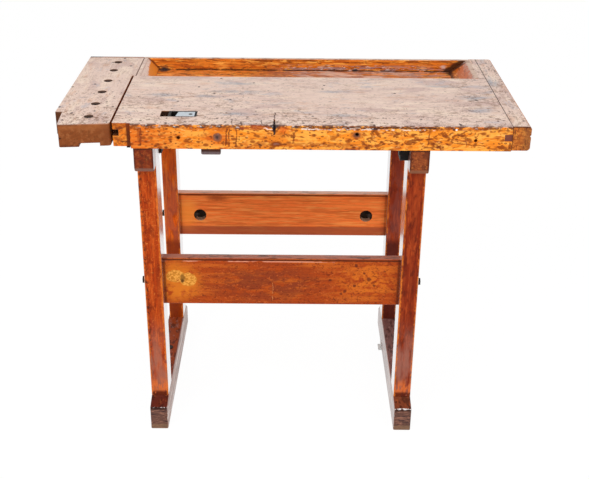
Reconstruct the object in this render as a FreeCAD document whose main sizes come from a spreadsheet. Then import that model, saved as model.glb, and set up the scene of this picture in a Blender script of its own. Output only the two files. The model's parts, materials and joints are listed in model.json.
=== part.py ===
"""Parametric model of a small timber workbench with a full-width end vise.

Frame: millimetres, +Z up, +X to the right along the bench, +Y from the worker's
side to the back, origin on the floor below the middle of the bench.
"""
import FreeCAD, Part
import os

import Sketcher

NEAR = 0.01
LEFT, RIGHT = -1, 1
FRONT, REAR = -1, 1

doc = FreeCAD.newDocument("Workbench")
sheet = doc.addObject("Spreadsheet::Sheet", "Sizes")


# ---------------------------------------------------------------- driving sizes
class Size:
    """A length that carries its value and the sheet formula behind it."""

    def __init__(self, number, text):
        self.number = number
        self.text = text

    def _join(self, other, sign, number):
        return Size(number, f"({self.text} {sign} {other.text})")

    def __add__(self, other):
        other = as_size(other)
        return self._join(other, "+", self.number + other.number)

    def __sub__(self, other):
        other = as_size(other)
        return self._join(other, "-", self.number - other.number)

    def __mul__(self, other):
        other = as_size(other)
        return self._join(other, "*", self.number * other.number)

    def __truediv__(self, other):
        other = as_size(other)
        return self._join(other, "/", self.number / other.number)

    def __radd__(self, other):
        return as_size(other) + self

    def __rsub__(self, other):
        return as_size(other) - self

    def __rmul__(self, other):
        return as_size(other) * self

    def __neg__(self):
        return self * -1


def as_size(item):
    return item if isinstance(item, Size) else Size(item, f"({item})")


def size(alias, value, note):
    """Add one driving size to the sheet and return it."""
    row = size.row = getattr(size, "row", 0) + 1
    sheet.set(f"A{row}", alias)
    sheet.set(f"B{row}", str(value))
    sheet.set(f"C{row}", note)
    sheet.setAlias(f"B{row}", alias)
    sheet.recompute()
    return Size(float(getattr(sheet, alias)), "Sizes." + alias)


# The whole bench
half_long = size("half_long", 563, "middle to the right end, and to the vise hub's outer end")
top_high = size("top_high", 838, "floor to the bench surface")
top_thick = size("top_thick", 57.5, "thickness of the slab and the apron")
cap_thick = size("cap_thick", 55.5, "thickness of the left end cap")
right_cap_thick = size("right_cap_thick", 58, "thickness of the right end cap")
arris = size("arris", 3, "worn rounding of the long edges")
low_arris = size("low_arris", 1.5, "rounding of the apron's lower edge")
fit = size("fit", 0.08, "running clearance on the radius of a shaft in its bore")
side_gap = size("side_gap", 0.3, "clearance between the faces of moving pieces")

# The fixed top
top_front = size("top_front", 273, "middle to the front face of the apron")
apron_thick = size("apron_thick", 42, "front apron, front to back")
slab_deep = size("slab_deep", 325, "slab behind the apron, front to back")
worn_edge = size("worn_edge", 5, "rounding of the apron's top edge")
cap_wide = size("cap_wide", 44, "right end cap along the bench")
cap_inset = size("cap_inset", 8, "apron's front face to the flat of the right cap's front end")
tongue_long = size("tongue_long", 17, "right cap's tongue into the slab")
tongue_high = size("tongue_high", 15.6, "thickness of the tongue")
tongue_up = size("tongue_up", 24.5, "tongue above the slab's underside")
left_cap_wide = size("left_cap_wide", 41.4, "left end cap along the bench")
left_cap_inset = size("left_cap_inset", 10, "apron's front face to the left cap's front end")
left_cap_step = size("left_cap_step", 3.7, "left cap is narrower beside the tray")
cap_groove_high = size("cap_groove_high", 14, "groove in the left cap's vise face")
cap_groove_deep = size("cap_groove_deep", 13, "depth of that groove")
cap_groove_up = size("cap_groove_up", 25.5, "groove above the cap's underside")
cap_round = size("cap_round", 8, "rounding of the right cap's end")
cap_vee_up = size("cap_vee_up", 34.5, "check groove in the right cap's end, above the underside")
cap_vee_deep = size("cap_vee_deep", 3, "depth of that groove")
tray_deep = size("tray_deep", 32, "tray floor below the bench surface")
tray_wide = size("tray_wide", 163, "tray between the slab and the rear rail")
rail_thick = size("rail_thick", 12, "rear rail")
ramp_run = size("ramp_run", 44, "right sweeping-out ramp along the bench")
ramp_flat = size("ramp_flat", 10, "level strip at the top of the right ramp")
ramp_gap = size("ramp_gap", 3, "right ramp to the rear rail")
left_ramp_run = size("left_ramp_run", 27.5, "bevel of the left cap in the tray")
left_ramp_drop = size("left_ramp_drop", 30, "height of that bevel")
plug_radius = size("plug_radius", 10.5, "wooden plug in the apron's old bore")
plug_deep = size("plug_deep", 15, "length of the plug")
plug_left = size("plug_left", 145, "plug to the left of the middle")
plug_down = size("plug_down", 28.5, "plug below the bench surface")
old_hole_radius = size("old_hole_radius", 4, "small old holes in the apron")
old_hole_deep = size("old_hole_deep", 14, "depth of the old holes")
chip_left = size("chip_left", 17, "chipped notch in the apron's top edge, left of the middle")
chip_wide = size("chip_wide", 20, "width of that notch at the top")
chip_high = size("chip_high", 12, "height of that notch")
chip_deep = size("chip_deep", 5, "depth of that notch")
crack_wide = size("crack_wide", 3, "crack from the notch across the apron's top")
crack_high = size("crack_high", 16, "height of that crack")
splinter_deep = size("splinter_deep", 2.5, "depth of the splintered strip")

# The trestles
trestle_in = size("trestle_in", 25.5, "slab's left end to the left trestle's centre line")
leg_wide = size("leg_wide", 44.5, "front legs, sleds and heads along the bench")
rear_leg_wide = size("rear_leg_wide", 41.5, "rear legs along the bench")
leg_deep = size("leg_deep", 70, "legs, front to back")
leg_inset = size("leg_inset", 44, "apron's front face to the front legs")
rear_leg_inset = size("rear_leg_inset", 32, "tray's rear face to the rear legs")
leg_round = size("leg_round", 4, "rounding of the legs' upright edges")
sled_inset = size("sled_inset", 5, "apron's front face to the sleds' front end")
sled_proud = size("sled_proud", 9, "sleds' rear end beyond the tray")
sled_high = size("sled_high", 78, "sled at the legs")
sled_nose = size("sled_nose", 65, "sled at its front end")
sled_nose_run = size("sled_nose_run", 42, "slope at the sled's front")
sled_tail = size("sled_tail", 52, "sled at its rear end")
sled_tail_run = size("sled_tail_run", 34, "slope at the sled's rear")
tenon_long = size("tenon_long", 40, "leg tenon into the sled")
tenon_thick = size("tenon_thick", 14, "leg tenon along the bench")
tenon_wide = size("tenon_wide", 50, "leg tenon, front to back")
head_high = size("head_high", 60.5, "trestle head under the top")
head_inset = size("head_inset", 8, "apron's front face to the heads' front end")
head_rear_inset = size("head_rear_inset", 2, "tray's rear face to the heads' rear end")
head_bevel = size("head_bevel", 5, "bevel under the heads' front end, front to back")
head_bevel_high = size("head_bevel_high", 10, "height of that bevel")
stretcher_low = size("stretcher_low", 341, "floor to the stretchers' lower edge")
stretcher_high = size("stretcher_high", 129, "stretchers, top to bottom")
stretcher_thick = size("stretcher_thick", 24, "stretchers, front to back")
stretcher_set = size("stretcher_set", 20, "leg's front face to the stretcher's front face")
stub_long = size("stub_long", 8, "stretcher's stub tenon into the leg")
stub_inset = size("stub_inset", 12, "shoulder above and below the stub tenon")
bolt_high = size("bolt_high", 403, "floor to the bench bolts")
bolt_radius = size("bolt_radius", 5, "bench bolt")
bolt_head_radius = size("bolt_head_radius", 9.8, "hexagon bolt head and nut, corner to centre")
bolt_head_thick = size("bolt_head_thick", 6, "bolt head")
washer_radius = size("washer_radius", 14, "washer")
washer_thick = size("washer_thick", 2, "washer")
nut_hole_radius = size("nut_hole_radius", 17.5, "nut hole in the stretcher's inner face")
nut_hole_deep = size("nut_hole_deep", 22, "depth of the nut hole")
nut_hole_in = size("nut_hole_in", 58, "stretcher's shoulder to the nut hole's centre")
nut_thick = size("nut_thick", 8, "bolt nut")
nut_seat = size("nut_seat", 14.3, "nut hole's centre to the nut's seated face")
bolt_spare = size("bolt_spare", 3, "bolt beyond its nut")

# Iron fittings
bracket_wide = size("bracket_wide", 50, "angle bracket, front to back")
bracket_gap = size("bracket_gap", 2, "leg to angle bracket")
bracket_foot = size("bracket_foot", 45, "angle bracket under the top")
bracket_foot_thick = size("bracket_foot_thick", 5.5, "thickness of that foot")
left_bracket_thick = size("left_bracket_thick", 5, "left brackets against the head")
left_bracket_high = size("left_bracket_high", 58.5, "left brackets, top to bottom")
right_bracket_thick = size("right_bracket_thick", 19.5, "right brackets against the legs")
right_bracket_high = size("right_bracket_high", 42.5, "right brackets, top to bottom")
bracket_proud = size("bracket_proud", 3, "right brackets beyond the legs' outer edges")
bracket_web = size("bracket_web", 8, "fillet in the bracket's corner")
bracket_screw_in = size("bracket_screw_in", 10.5, "bracket's edges to its screws")
bracket_screw_high = size("bracket_screw_high", 22, "top's underside to the bracket's upper screw")
bracket_screw_low = size("bracket_screw_low", 50, "top's underside to the bracket's lower screw")
bracket_screw_mid = size("bracket_screw_mid", 26, "top's underside to the right brackets' screws")
screw_radius = size("screw_radius", 2.5, "wood screw shank")
screw_head_radius = size("screw_head_radius", 4.6, "wood screw head")
screw_head_thick = size("screw_head_thick", 2, "wood screw head")
screw_long = size("screw_long", 18, "wood screw in the wood")
floor_bolt_radius = size("floor_bolt_radius", 4, "bolt down through the left sled")
floor_bolt_head = size("floor_bolt_head", 9, "radius of that bolt's round head")
floor_bolt_crown = size("floor_bolt_crown", 3, "height of the floor bolt's head")
clip_out = size("clip_out", 10, "floor clip beyond the right sled")
clip_high = size("clip_high", 15, "floor clip against the right sled")
clip_wide = size("clip_wide", 30, "floor clip, front to back")
clip_thick = size("clip_thick", 2.5, "floor clip's strip")
clip_at = size("clip_at", 117, "middle to the front edge of the floor clip")

# The end vise
hub_out = size("hub_out", 39, "jaw's outer face to the vise hub's outer end")
jaw_wide = size("jaw_wide", 136.5, "jaw along the bench")
jaw_thick = size("jaw_thick", 54, "thickness of the jaw")
jaw_proud = size("jaw_proud", 5, "jaw's front left corner in front of the apron")
jaw_slant = size("jaw_slant", 12, "front face falls back towards the bench")
jaw_rear_inset = size("jaw_rear_inset", 1, "tray's rear face to the jaw's rear end")
jaw_notch = size("jaw_notch", 16, "jaw is narrower at its front")
jaw_notch_deep = size("jaw_notch_deep", 87, "length of that narrower part")
jaw_lean = size("jaw_lean", 5.5, "the narrower part's outer face leans in towards the front")
jaw_gap = size("jaw_gap", 5.1, "jaw to the left cap beside the slab, vise closed")
jaw_shut = size("jaw_shut", 0.4, "jaw to the left cap beside the tray, vise closed")
jaw_groove = size("jaw_groove", 47, "groove under the dog holes")
jaw_groove_deep = size("jaw_groove_deep", 8.6, "depth of the groove")
jaw_groove_in = size("jaw_groove_in", 66, "jaw's outer face to the groove")
jaw_relief = size("jaw_relief", 1, "underside cut back between groove and bench")
jaw_round = size("jaw_round", 6, "rounding of the jaw's front corners")
dog_radius = size("dog_radius", 11, "round dog hole")
dog_in = size("dog_in", 82.5, "jaw's outer face to the row of dog holes")
dog_first = size("dog_first", 220, "middle to the first dog hole")
dog_pitch = size("dog_pitch", 90, "spacing of the first five dog holes")
dog_last_pitch = size("dog_last_pitch", 74, "fifth dog hole to the last one")
vise_drop = size("vise_drop", 76, "bench surface to the vise screw's axis")
yoke_deep = size("yoke_deep", 332, "yoke under the jaw, front to back")
yoke_high = size("yoke_high", 41, "yoke, top to bottom")
yoke_wide = size("yoke_wide", 36, "yoke along the bench")
yoke_in = size("yoke_in", 2, "jaw's outer face to the yoke")
bar_radius = size("bar_radius", 10, "guide bar")
bar_spread = size("bar_spread", 143, "screw to each guide bar")
bar_long = size("bar_long", 355, "guide bar")
flange_in = size("flange_in", 13.4, "left cap's outer face to the guide flanges' plates")
flange_thick = size("flange_thick", 8, "guide flange")
flange_wide = size("flange_wide", 42, "guide flange, front to back")
flange_high = size("flange_high", 41.5, "guide flange, top to bottom")
flange_foot = size("flange_foot", 13, "guide flange's foot under the cap")
yoke_screw_near = size("yoke_screw_near", 50, "vise screw to the nearer yoke screws")
yoke_screw_pitch = size("yoke_screw_pitch", 56, "nearer to farther yoke screws")
yoke_screw_radius = size("yoke_screw_radius", 3.5, "yoke screw shank")
yoke_screw_head = size("yoke_screw_head", 7, "yoke screw head")
yoke_screw_into = size("yoke_screw_into", 30, "yoke screw in the jaw")
vise_screw_radius = size("vise_screw_radius", 12.5, "vise screw")
screw_clear = size("screw_clear", 1, "free way round the screw and bars where they aren't guided")
vise_screw_end = size("vise_screw_end", 35, "middle to the free end of the screw")
hub_radius = size("hub_radius", 20, "screw's hub")
hub_socket = size("hub_socket", 6, "screw's end in the hub")
thrust_gap = size("thrust_gap", 2, "hub to yoke, filled by the thrust washer")
collar_radius = size("collar_radius", 19, "retaining collar")
collar_thick = size("collar_thick", 8, "retaining collar")
handle_radius = size("handle_radius", 8, "tommy bar")
handle_long = size("handle_long", 262, "tommy bar with its knobs")
handle_at = size("handle_at", 20, "hub's outer end to the tommy bar's axis")
knob_radius = size("knob_radius", 12, "knob on the tommy bar")
knob_long = size("knob_long", 16, "knob on the tommy bar")
block_in = size("block_in", 136, "slab's left end to the nut block")
block_wide = size("block_wide", 49.3, "nut block along the bench")
block_deep = size("block_deep", 72, "nut block, front to back")
block_high = size("block_high", 108.5, "nut block, top to bottom")
block_round = size("block_round", 7, "rounding of the nut block's lower edges")
nut_radius = size("nut_radius", 16.5, "vise nut's barrel in the block")
nut_long = size("nut_long", 40, "vise nut's barrel")
nut_flange_radius = size("nut_flange_radius", 29, "vise nut's flange")
nut_flange_thick = size("nut_flange_thick", 8, "vise nut's flange")

# The bench stop
stop_end_in = size("stop_end_in", 61, "slab's left end to the stop's recess")
stop_long = size("stop_long", 84, "recess along the bench")
stop_in = size("stop_in", 14, "slab's front edge to the recess")
stop_wide = size("stop_wide", 39, "recess, front to back")
stop_deep = size("stop_deep", 38, "depth of the recess")
stop_frame_long = size("stop_frame_long", 66, "iron frame along the bench")
stop_wall = size("stop_wall", 3, "wall of the iron frame")
stop_end_wall = size("stop_end_wall", 6, "frame's left end, which takes the wood screw")
stop_plate_long = size("stop_plate_long", 43.5, "tilting plate along the bench")
stop_plate_thick = size("stop_plate_thick", 4, "tilting plate")
stop_plate_slant = size("stop_plate_slant", 5, "slant of the plate's biting edge")
stop_plate_sunk = size("stop_plate_sunk", 0.5, "plate below the bench surface")
stop_plate_in = size("stop_plate_in", 5.5, "recess's right end to the plate")
stop_pin_radius = size("stop_pin_radius", 1.5, "hinge pin")
stop_knuckle_radius = size("stop_knuckle_radius", 3, "plate's knuckle round the pin")
stop_pin_in = size("stop_pin_in", 2, "plate's right end to the pin")
stop_pin_down = size("stop_pin_down", 6, "bench surface to the pin")
set_screw_radius = size("set_screw_radius", 2.5, "screw that lifts the plate")
set_screw_head = size("set_screw_head", 4.5, "radius of that screw's head")
set_screw_in = size("set_screw_in", 9.5, "plate's right end to the lifting screw")
small_screw_radius = size("small_screw_radius", 1.5, "frame's wood screw")
small_screw_head = size("small_screw_head", 2.8, "radius of that screw's head")
small_screw_into = size("small_screw_into", 9, "frame's wood screw in the slab")

# Levels and places that follow from the sizes above
under = top_high - top_thick
cap_under = top_high - cap_thick
right_cap_under = top_high - right_cap_thick
jaw_under = top_high - jaw_thick
tray_floor_z = top_high - tray_deep
head_low = under - head_high
slab_front = apron_thick - top_front
slab_rear = slab_front + slab_deep
rail_front = slab_rear + tray_wide
rail_rear = rail_front + rail_thick
cap_seam = half_long - cap_wide
tongue_left = cap_seam - tongue_long
jaw_left = half_long - hub_out
left_cap_end = jaw_left - jaw_wide - jaw_gap
top_left = left_cap_end - left_cap_wide
tray_cap_end = left_cap_end - left_cap_step
trestle_half = top_left - trestle_in
inner_face = trestle_half - leg_wide / 2
cap_front = top_front - cap_inset
left_cap_front = top_front - left_cap_inset
front_leg_at = top_front - leg_inset
rear_leg_at = rail_rear - rear_leg_inset - leg_deep
sled_front = top_front - sled_inset
sled_rear = rail_rear + sled_proud
head_front = top_front - head_inset
head_rear = rail_rear - head_rear_inset
jaw_front = top_front + jaw_proud
jaw_rear = rail_rear - jaw_rear_inset
dog_left = jaw_left - dog_in
flange_at = left_cap_end - flange_in
vise_z = top_high - vise_drop
yoke_low = jaw_under - yoke_high
yoke_left = -jaw_left + yoke_in
yoke_right = yoke_left + yoke_wide
jaw_inner = -left_cap_end - jaw_gap
jaw_tray_inner = -tray_cap_end - jaw_shut
hub_inner = yoke_left - thrust_gap
handle_x = -half_long + handle_at
hub_face = hub_radius + fit
block_left = top_left - block_in
stop_floor = top_high - stop_deep
stop_left = top_left - stop_end_in
stop_right = stop_left - stop_long
stop_front = -slab_front - stop_in
stop_frame_left = -stop_right - stop_frame_long
stop_plate_right = -stop_right - stop_plate_in
stop_pin_x = stop_plate_right - stop_pin_in
stop_mid = stop_wide / 2 - stop_front
front_stretcher_y = stretcher_set - front_leg_at
rear_stretcher_y = rear_leg_at + stretcher_set


# ---------------------------------------------------------------- drawing helpers
nodes = {}


def node(name, thing):
    """Keep a finished piece under the name of its file."""
    thing.Label = name
    nodes[name] = thing
    return thing


def bind(thing, path, length):
    thing.setExpression(path, as_size(length).text)


def place(thing, x, y, z):
    for axis, length in zip("xyz", (x, y, z)):
        bind(thing, "Placement.Base." + axis, length)


def body(name, x, y, z):
    piece = doc.addObject("PartDesign::Body", name)
    place(piece, x, y, z)
    return piece


def sketch(piece, name, role, lift=0):
    """A sketch on one of the body's own origin planes, lifted along its normal."""
    drawing = piece.newObject("Sketcher::SketchObject", name)
    plane = next(item for item in piece.Origin.OriginFeatures if item.Role == role)
    drawing.AttachmentSupport = [(plane, "")]
    drawing.MapMode = "FlatFace"
    bind(drawing, "AttachmentOffset.Base.z", lift)
    return drawing


def pin_point(drawing, shape, point, x, y):
    """Hold a point of a sketch at two lengths from the sketch's origin."""
    for kind, axis, length in (("DistanceX", -2, as_size(x)), ("DistanceY", -1, as_size(y))):
        if length.text == "(0)":
            drawing.addConstraint(Sketcher.Constraint("PointOnObject", shape, point, axis))
            continue
        rule = Sketcher.Constraint(kind, -1, 1, shape, point, length.number)
        index = drawing.addConstraint(rule)
        drawing.setExpression(f"Constraints[{index}]", length.text)


def outline(drawing, points):
    """A closed outline of straight lines through the given points."""
    first = drawing.GeometryCount
    spots = [FreeCAD.Vector(as_size(x).number, as_size(y).number, 0) for x, y in points]
    for here, there in zip(spots, spots[1:] + spots[:1]):
        drawing.addGeometry(Part.LineSegment(here, there))
    for index in range(len(points)):
        before = first + (index - 1) % len(points)
        drawing.addConstraint(Sketcher.Constraint("Coincident", before, 2, first + index, 1))
    for index, (x, y) in enumerate(points):
        pin_point(drawing, first + index, 1, x, y)


def rectangle(drawing, x, y):
    """A rectangle between two pairs of limits."""
    outline(drawing, [(x[0], y[0]), (x[1], y[0]), (x[1], y[1]), (x[0], y[1])])


def circle(drawing, x, y, radius):
    centre = FreeCAD.Vector(as_size(x).number, as_size(y).number, 0)
    up = FreeCAD.Vector(0, 0, 1)
    index = drawing.addGeometry(Part.Circle(centre, up, as_size(radius).number))
    pin_point(drawing, index, 3, x, y)
    rule = drawing.addConstraint(Sketcher.Constraint("Radius", index, as_size(radius).number))
    drawing.setExpression(f"Constraints[{rule}]", as_size(radius).text)


def pad(piece, drawing, length, back=False):
    """Raise a sketch along its plane's normal, or against it."""
    feature = piece.newObject("PartDesign::Pad", drawing.Name + "_pad")
    feature.Profile = drawing
    bind(feature, "Length", length)
    feature.Reversed = back
    return feature


def pocket(piece, drawing, length=None):
    """Cut a sketch into the body, on whichever side of it the material lies."""
    doc.recompute()
    before = piece.Shape.Volume
    feature = piece.newObject("PartDesign::Pocket", drawing.Name + "_pocket")
    feature.Profile = drawing
    if length is None:
        feature.Type = "ThroughAll"
    else:
        bind(feature, "Length", length)
    doc.recompute()
    if piece.Shape.Volume > before - NEAR:
        feature.Reversed = True
        doc.recompute()
    if piece.Shape.Volume > before - NEAR:
        raise RuntimeError(drawing.Name + " cuts nothing")
    return feature


def runs(edge, axis):
    """True for a straight edge along an axis."""
    ends = [corner.Point for corner in edge.Vertexes]
    if len(ends) != 2:
        return False
    step = ends[1] - ends[0]
    return step.Length > NEAR and abs(abs(getattr(step, axis)) - step.Length) < NEAR


def lies(edge, **spot):
    """True where the edge's middle has the given coordinates, in the body's own frame."""
    middle = edge.CenterOfMass
    return all(abs(getattr(middle, axis) - as_size(at).number) < NEAR
               for axis, at in spot.items())


def soften(piece, name, radius, chosen):
    """Round the edges for which chosen(edge) is true."""
    doc.recompute()
    base = piece.Tip
    names = [f"Edge{index}" for index, edge in enumerate(base.Shape.Edges, 1) if chosen(edge)]
    feature = piece.newObject("PartDesign::Fillet", name)
    feature.Base = (base, names)
    bind(feature, "Radius", radius)
    return feature


def plank(name, x, y, z):
    """A board between three pairs of limits, drawn in plan and padded up."""
    piece = body(name, x[0], y[0], z[0])
    drawing = sketch(piece, name + "_plan", "XY_Plane")
    rectangle(drawing, (0, x[1] - x[0]), (0, y[1] - y[0]))
    pad(piece, drawing, z[1] - z[0])
    return piece


def box(name, x, y, z):
    solid = doc.addObject("Part::Box", name)
    for side, (low, high) in zip(("Length", "Width", "Height"), (x, y, z)):
        bind(solid, side, high - low)
    place(solid, x[0], y[0], z[0])
    return solid


TURNS = {
    "x": FreeCAD.Rotation(FreeCAD.Vector(0, 1, 0), 90),
    "y": FreeCAD.Rotation(FreeCAD.Vector(1, 0, 0), -90),
    "z": FreeCAD.Rotation(),
}


def rod(name, axis, start, radius, length):
    """A cylinder that runs from its start along +X, +Y or +Z."""
    solid = doc.addObject("Part::Cylinder", name)
    bind(solid, "Radius", radius)
    bind(solid, "Height", length)
    solid.Placement.Rotation = TURNS[axis]
    place(solid, *start)
    return solid


def hexagon(name, start, radius, length):
    """A six-sided prism that runs from its start along +X."""
    solid = doc.addObject("Part::Prism", name)
    solid.Polygon = 6
    bind(solid, "Circumradius", radius)
    bind(solid, "Height", length)
    solid.Placement.Rotation = TURNS["x"]
    place(solid, *start)
    return solid


def fuse(name, solids):
    result = doc.addObject("Part::MultiFuse", name)
    result.Shapes = solids
    result.Refine = True
    return result


def cut(name, base, tools):
    result = doc.addObject("Part::Cut", name)
    result.Base = base
    result.Tool = tools[0] if len(tools) == 1 else fuse(name + "_tools", tools)
    return result


def group(name, solids):
    """Separate solids that share one node."""
    result = doc.addObject("Part::Compound", name)
    result.Links = solids
    return result


def ring(name, axis, start, outer, inner, length):
    shell = rod(name + "_outside", axis, start, outer, length)
    return cut(name, shell, [rod(name + "_bore", axis, start, inner, length)])


def side_word(side):
    return "left" if side == LEFT else "right"


def end_word(end):
    return "front" if end == FRONT else "rear"


def mirrored(side, near, far):
    """Limits between two distances from the middle, on either side of it."""
    return (-far, -near) if side < 0 else (near, far)


# ---------------------------------------------------------------- trestles
# front face, width along the bench and stretcher of the front and rear legs
LEGS = {
    FRONT: (-front_leg_at, leg_wide, front_stretcher_y),
    REAR: (rear_leg_at, rear_leg_wide, rear_stretcher_y),
}


def bracket_start(side, end):
    """Front edge of an angle bracket: beside the left legs, over the right ones."""
    if side == LEFT:
        near = leg_deep - front_leg_at + bracket_gap
        far = rear_leg_at - bracket_gap - bracket_wide
    else:
        near = -front_leg_at - bracket_proud
        far = rear_leg_at + leg_deep + bracket_proud - bracket_wide
    return near if end == FRONT else far


def side_screws(side, end):
    """Places (y, z) of the two screws from an angle bracket into the trestle."""
    start = bracket_start(side, end)
    near, far = start + bracket_screw_in, start + bracket_wide - bracket_screw_in
    if side == RIGHT:
        return [(near, under - bracket_screw_mid), (far, under - bracket_screw_mid)]
    y = far if end == FRONT else near
    return [(y, under - bracket_screw_high), (y, under - bracket_screw_low)]


def foot_screws(side, end):
    """Places (x, y) of the two screws from an angle bracket up into the top."""
    start = bracket_start(side, end)
    x = side * (inner_face - bracket_foot + bracket_screw_in)
    return [(x, start + bracket_screw_in), (x, start + bracket_wide - bracket_screw_in)]


def sled(side):
    name = side_word(side) + "_sled_foot"
    foot = body(name, side * trestle_half - leg_wide / 2, -sled_front, 0)
    long = sled_front + sled_rear
    profile = sketch(foot, name + "_side", "YZ_Plane")
    outline(profile, [
        (0, 0), (long, 0), (long, sled_tail), (long - sled_tail_run, sled_high),
        (sled_nose_run, sled_high), (0, sled_nose),
    ])
    pad(foot, profile, leg_wide)
    soften(foot, name + "_arris", leg_round, lambda edge: edge.CenterOfMass.z > NEAR)
    mortises = sketch(foot, name + "_mortises", "XY_Plane", sled_high)
    for start, wide, _ in LEGS.values():
        centre = wide / 2 if side == RIGHT else leg_wide - wide / 2
        front = start + sled_front + (leg_deep - tenon_wide) / 2
        rectangle(mortises, (centre - tenon_thick / 2, centre + tenon_thick / 2),
                  (front, front + tenon_wide))
    pocket(foot, mortises, tenon_long)
    if side == LEFT:
        bore = sketch(foot, name + "_bore", "XY_Plane", sled_high)
        circle(bore, leg_wide / 2, sled_front, floor_bolt_radius)
        pocket(foot, bore)
    node(name, foot)


def leg(side, end):
    name = f"{side_word(side)}_{end_word(end)}_leg"
    start, wide, stretcher_y = LEGS[end]
    post = body(name, side * inner_face, start, sled_high)
    shoulder = head_low - sled_high
    top = under - sled_high
    lap = leg_wide / 2
    profile = sketch(post, name + "_front", "XZ_Plane")
    outline(profile, [
        (0, 0), (side * wide, 0), (side * wide, shoulder), (side * lap, shoulder),
        (side * lap, top), (0, top),
    ])
    pad(post, profile, leg_deep, back=True)
    soften(post, name + "_arris", leg_round,
           lambda edge: runs(edge, "z") and edge.Length > shoulder.number - NEAR)
    tenon = sketch(post, name + "_tenon", "XY_Plane")
    centre = side * wide / 2
    front = (leg_deep - tenon_wide) / 2
    rectangle(tenon, (centre - tenon_thick / 2, centre + tenon_thick / 2),
              (front, front + tenon_wide))
    pad(post, tenon, tenon_long, back=True)
    low = stretcher_low - sled_high
    mortise = sketch(post, name + "_mortise", "YZ_Plane")
    rectangle(mortise, (stretcher_y - start, stretcher_y - start + stretcher_thick),
              (low + stub_inset, low + stretcher_high - stub_inset))
    pocket(post, mortise, stub_long)
    bore = sketch(post, name + "_bolt_bore", "YZ_Plane")
    circle(bore, stretcher_y - start + stretcher_thick / 2, bolt_high - sled_high, bolt_radius)
    pocket(post, bore)
    if side == RIGHT:
        bores = sketch(post, name + "_screw_bores", "YZ_Plane")
        for y, z in side_screws(side, end):
            circle(bores, y - start, z - sled_high, screw_radius)
        pocket(post, bores, screw_long)
    node(name, post)


def head(side):
    name = side_word(side) + "_trestle_head"
    rail = body(name, side * inner_face, -head_front, head_low)
    long = head_front + head_rear
    profile = sketch(rail, name + "_side", "YZ_Plane")
    outline(profile, [
        (0, head_bevel_high), (head_bevel, 0), (long, 0), (long, head_high), (0, head_high),
    ])
    pad(rail, profile, leg_wide, back=side == LEFT)
    soften(rail, name + "_arris", arris, lambda edge: runs(edge, "y") and lies(edge, z=0))
    laps = sketch(rail, name + "_laps", "YZ_Plane")
    for start, _, _ in LEGS.values():
        front = start + head_front
        rectangle(laps, (front, front + leg_deep), (0, head_high))
    pocket(rail, laps, leg_wide / 2)
    if side == LEFT:
        bores = sketch(rail, name + "_screw_bores", "YZ_Plane")
        for end in (FRONT, REAR):
            for y, z in side_screws(side, end):
                circle(bores, y + head_front, z - head_low, screw_radius)
        pocket(rail, bores, screw_long)
        bores = sketch(rail, name + "_vise_bores", "YZ_Plane")
        for end in (FRONT, REAR):
            circle(bores, end * bar_spread + head_front, vise_z - head_low, bar_radius + fit)
        circle(bores, head_front, vise_z - head_low, vise_screw_radius + screw_clear)
        pocket(rail, bores)
    node(name, rail)


def stretcher(end):
    name = end_word(end) + "_stretcher"
    _, _, y = LEGS[end]
    long = 2 * inner_face
    rail = body(name, -inner_face, y, stretcher_low)
    profile = sketch(rail, name + "_front", "XZ_Plane")
    rectangle(profile, (0, long), (0, stretcher_high))
    pad(rail, profile, stretcher_thick, back=True)
    soften(rail, name + "_arris", arris, lambda edge: runs(edge, "x"))
    stubs = sketch(rail, name + "_stubs", "XZ_Plane")
    for x in ((-stub_long, 0), (long, long + stub_long)):
        rectangle(stubs, x, (stub_inset, stretcher_high - stub_inset))
    pad(rail, stubs, stretcher_thick, back=True)
    holes = sketch(rail, name + "_nut_holes", "XZ_Plane", -stretcher_thick if end == FRONT else 0)
    for x in (nut_hole_in, long - nut_hole_in):
        circle(holes, x, bolt_high - stretcher_low, nut_hole_radius)
    pocket(rail, holes, nut_hole_deep)
    for side, lift in ((LEFT, -stub_long), (RIGHT, long + stub_long)):
        bore = sketch(rail, f"{name}_{side_word(side)}_bore", "YZ_Plane", lift)
        circle(bore, stretcher_thick / 2, bolt_high - stretcher_low, bolt_radius)
        pocket(rail, bore, stub_long + nut_hole_in)
    node(name, rail)


def bench_bolts():
    """Four bolts through the legs, each with a washer and a nut in its nut hole."""
    bolts, washers, nuts = [], [], []
    for side in (LEFT, RIGHT):
        for end in (FRONT, REAR):
            tag = f"_{side_word(side)}_{end_word(end)}"
            _, wide, stretcher_y = LEGS[end]
            y = stretcher_y + stretcher_thick / 2
            face = inner_face + wide
            seat = inner_face - nut_hole_in + nut_seat
            shank = mirrored(side, seat - nut_thick - bolt_spare, face + washer_thick)
            cap = mirrored(side, face + washer_thick, face + washer_thick + bolt_head_thick)
            nut = mirrored(side, seat - nut_thick, seat)
            plate = mirrored(side, face, face + washer_thick)
            bolts.append(fuse("bolt" + tag, [
                rod("bolt_shank" + tag, "x", (shank[0], y, bolt_high), bolt_radius,
                    shank[1] - shank[0]),
                hexagon("bolt_head" + tag, (cap[0], y, bolt_high), bolt_head_radius,
                        bolt_head_thick),
            ]))
            washers.append(ring("washer" + tag, "x", (plate[0], y, bolt_high), washer_radius,
                                bolt_radius, washer_thick))
            nuts.append(cut("nut" + tag, hexagon("nut_body" + tag, (nut[0], y, bolt_high),
                                                 bolt_head_radius, nut_thick),
                            [rod("nut_bore" + tag, "x", (nut[0], y, bolt_high), bolt_radius,
                                 nut_thick)]))
    node("stretcher_bolts", group("stretcher_bolts", bolts))
    node("stretcher_washers", group("stretcher_washers", washers))
    node("stretcher_nuts", group("stretcher_nuts", nuts))


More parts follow.
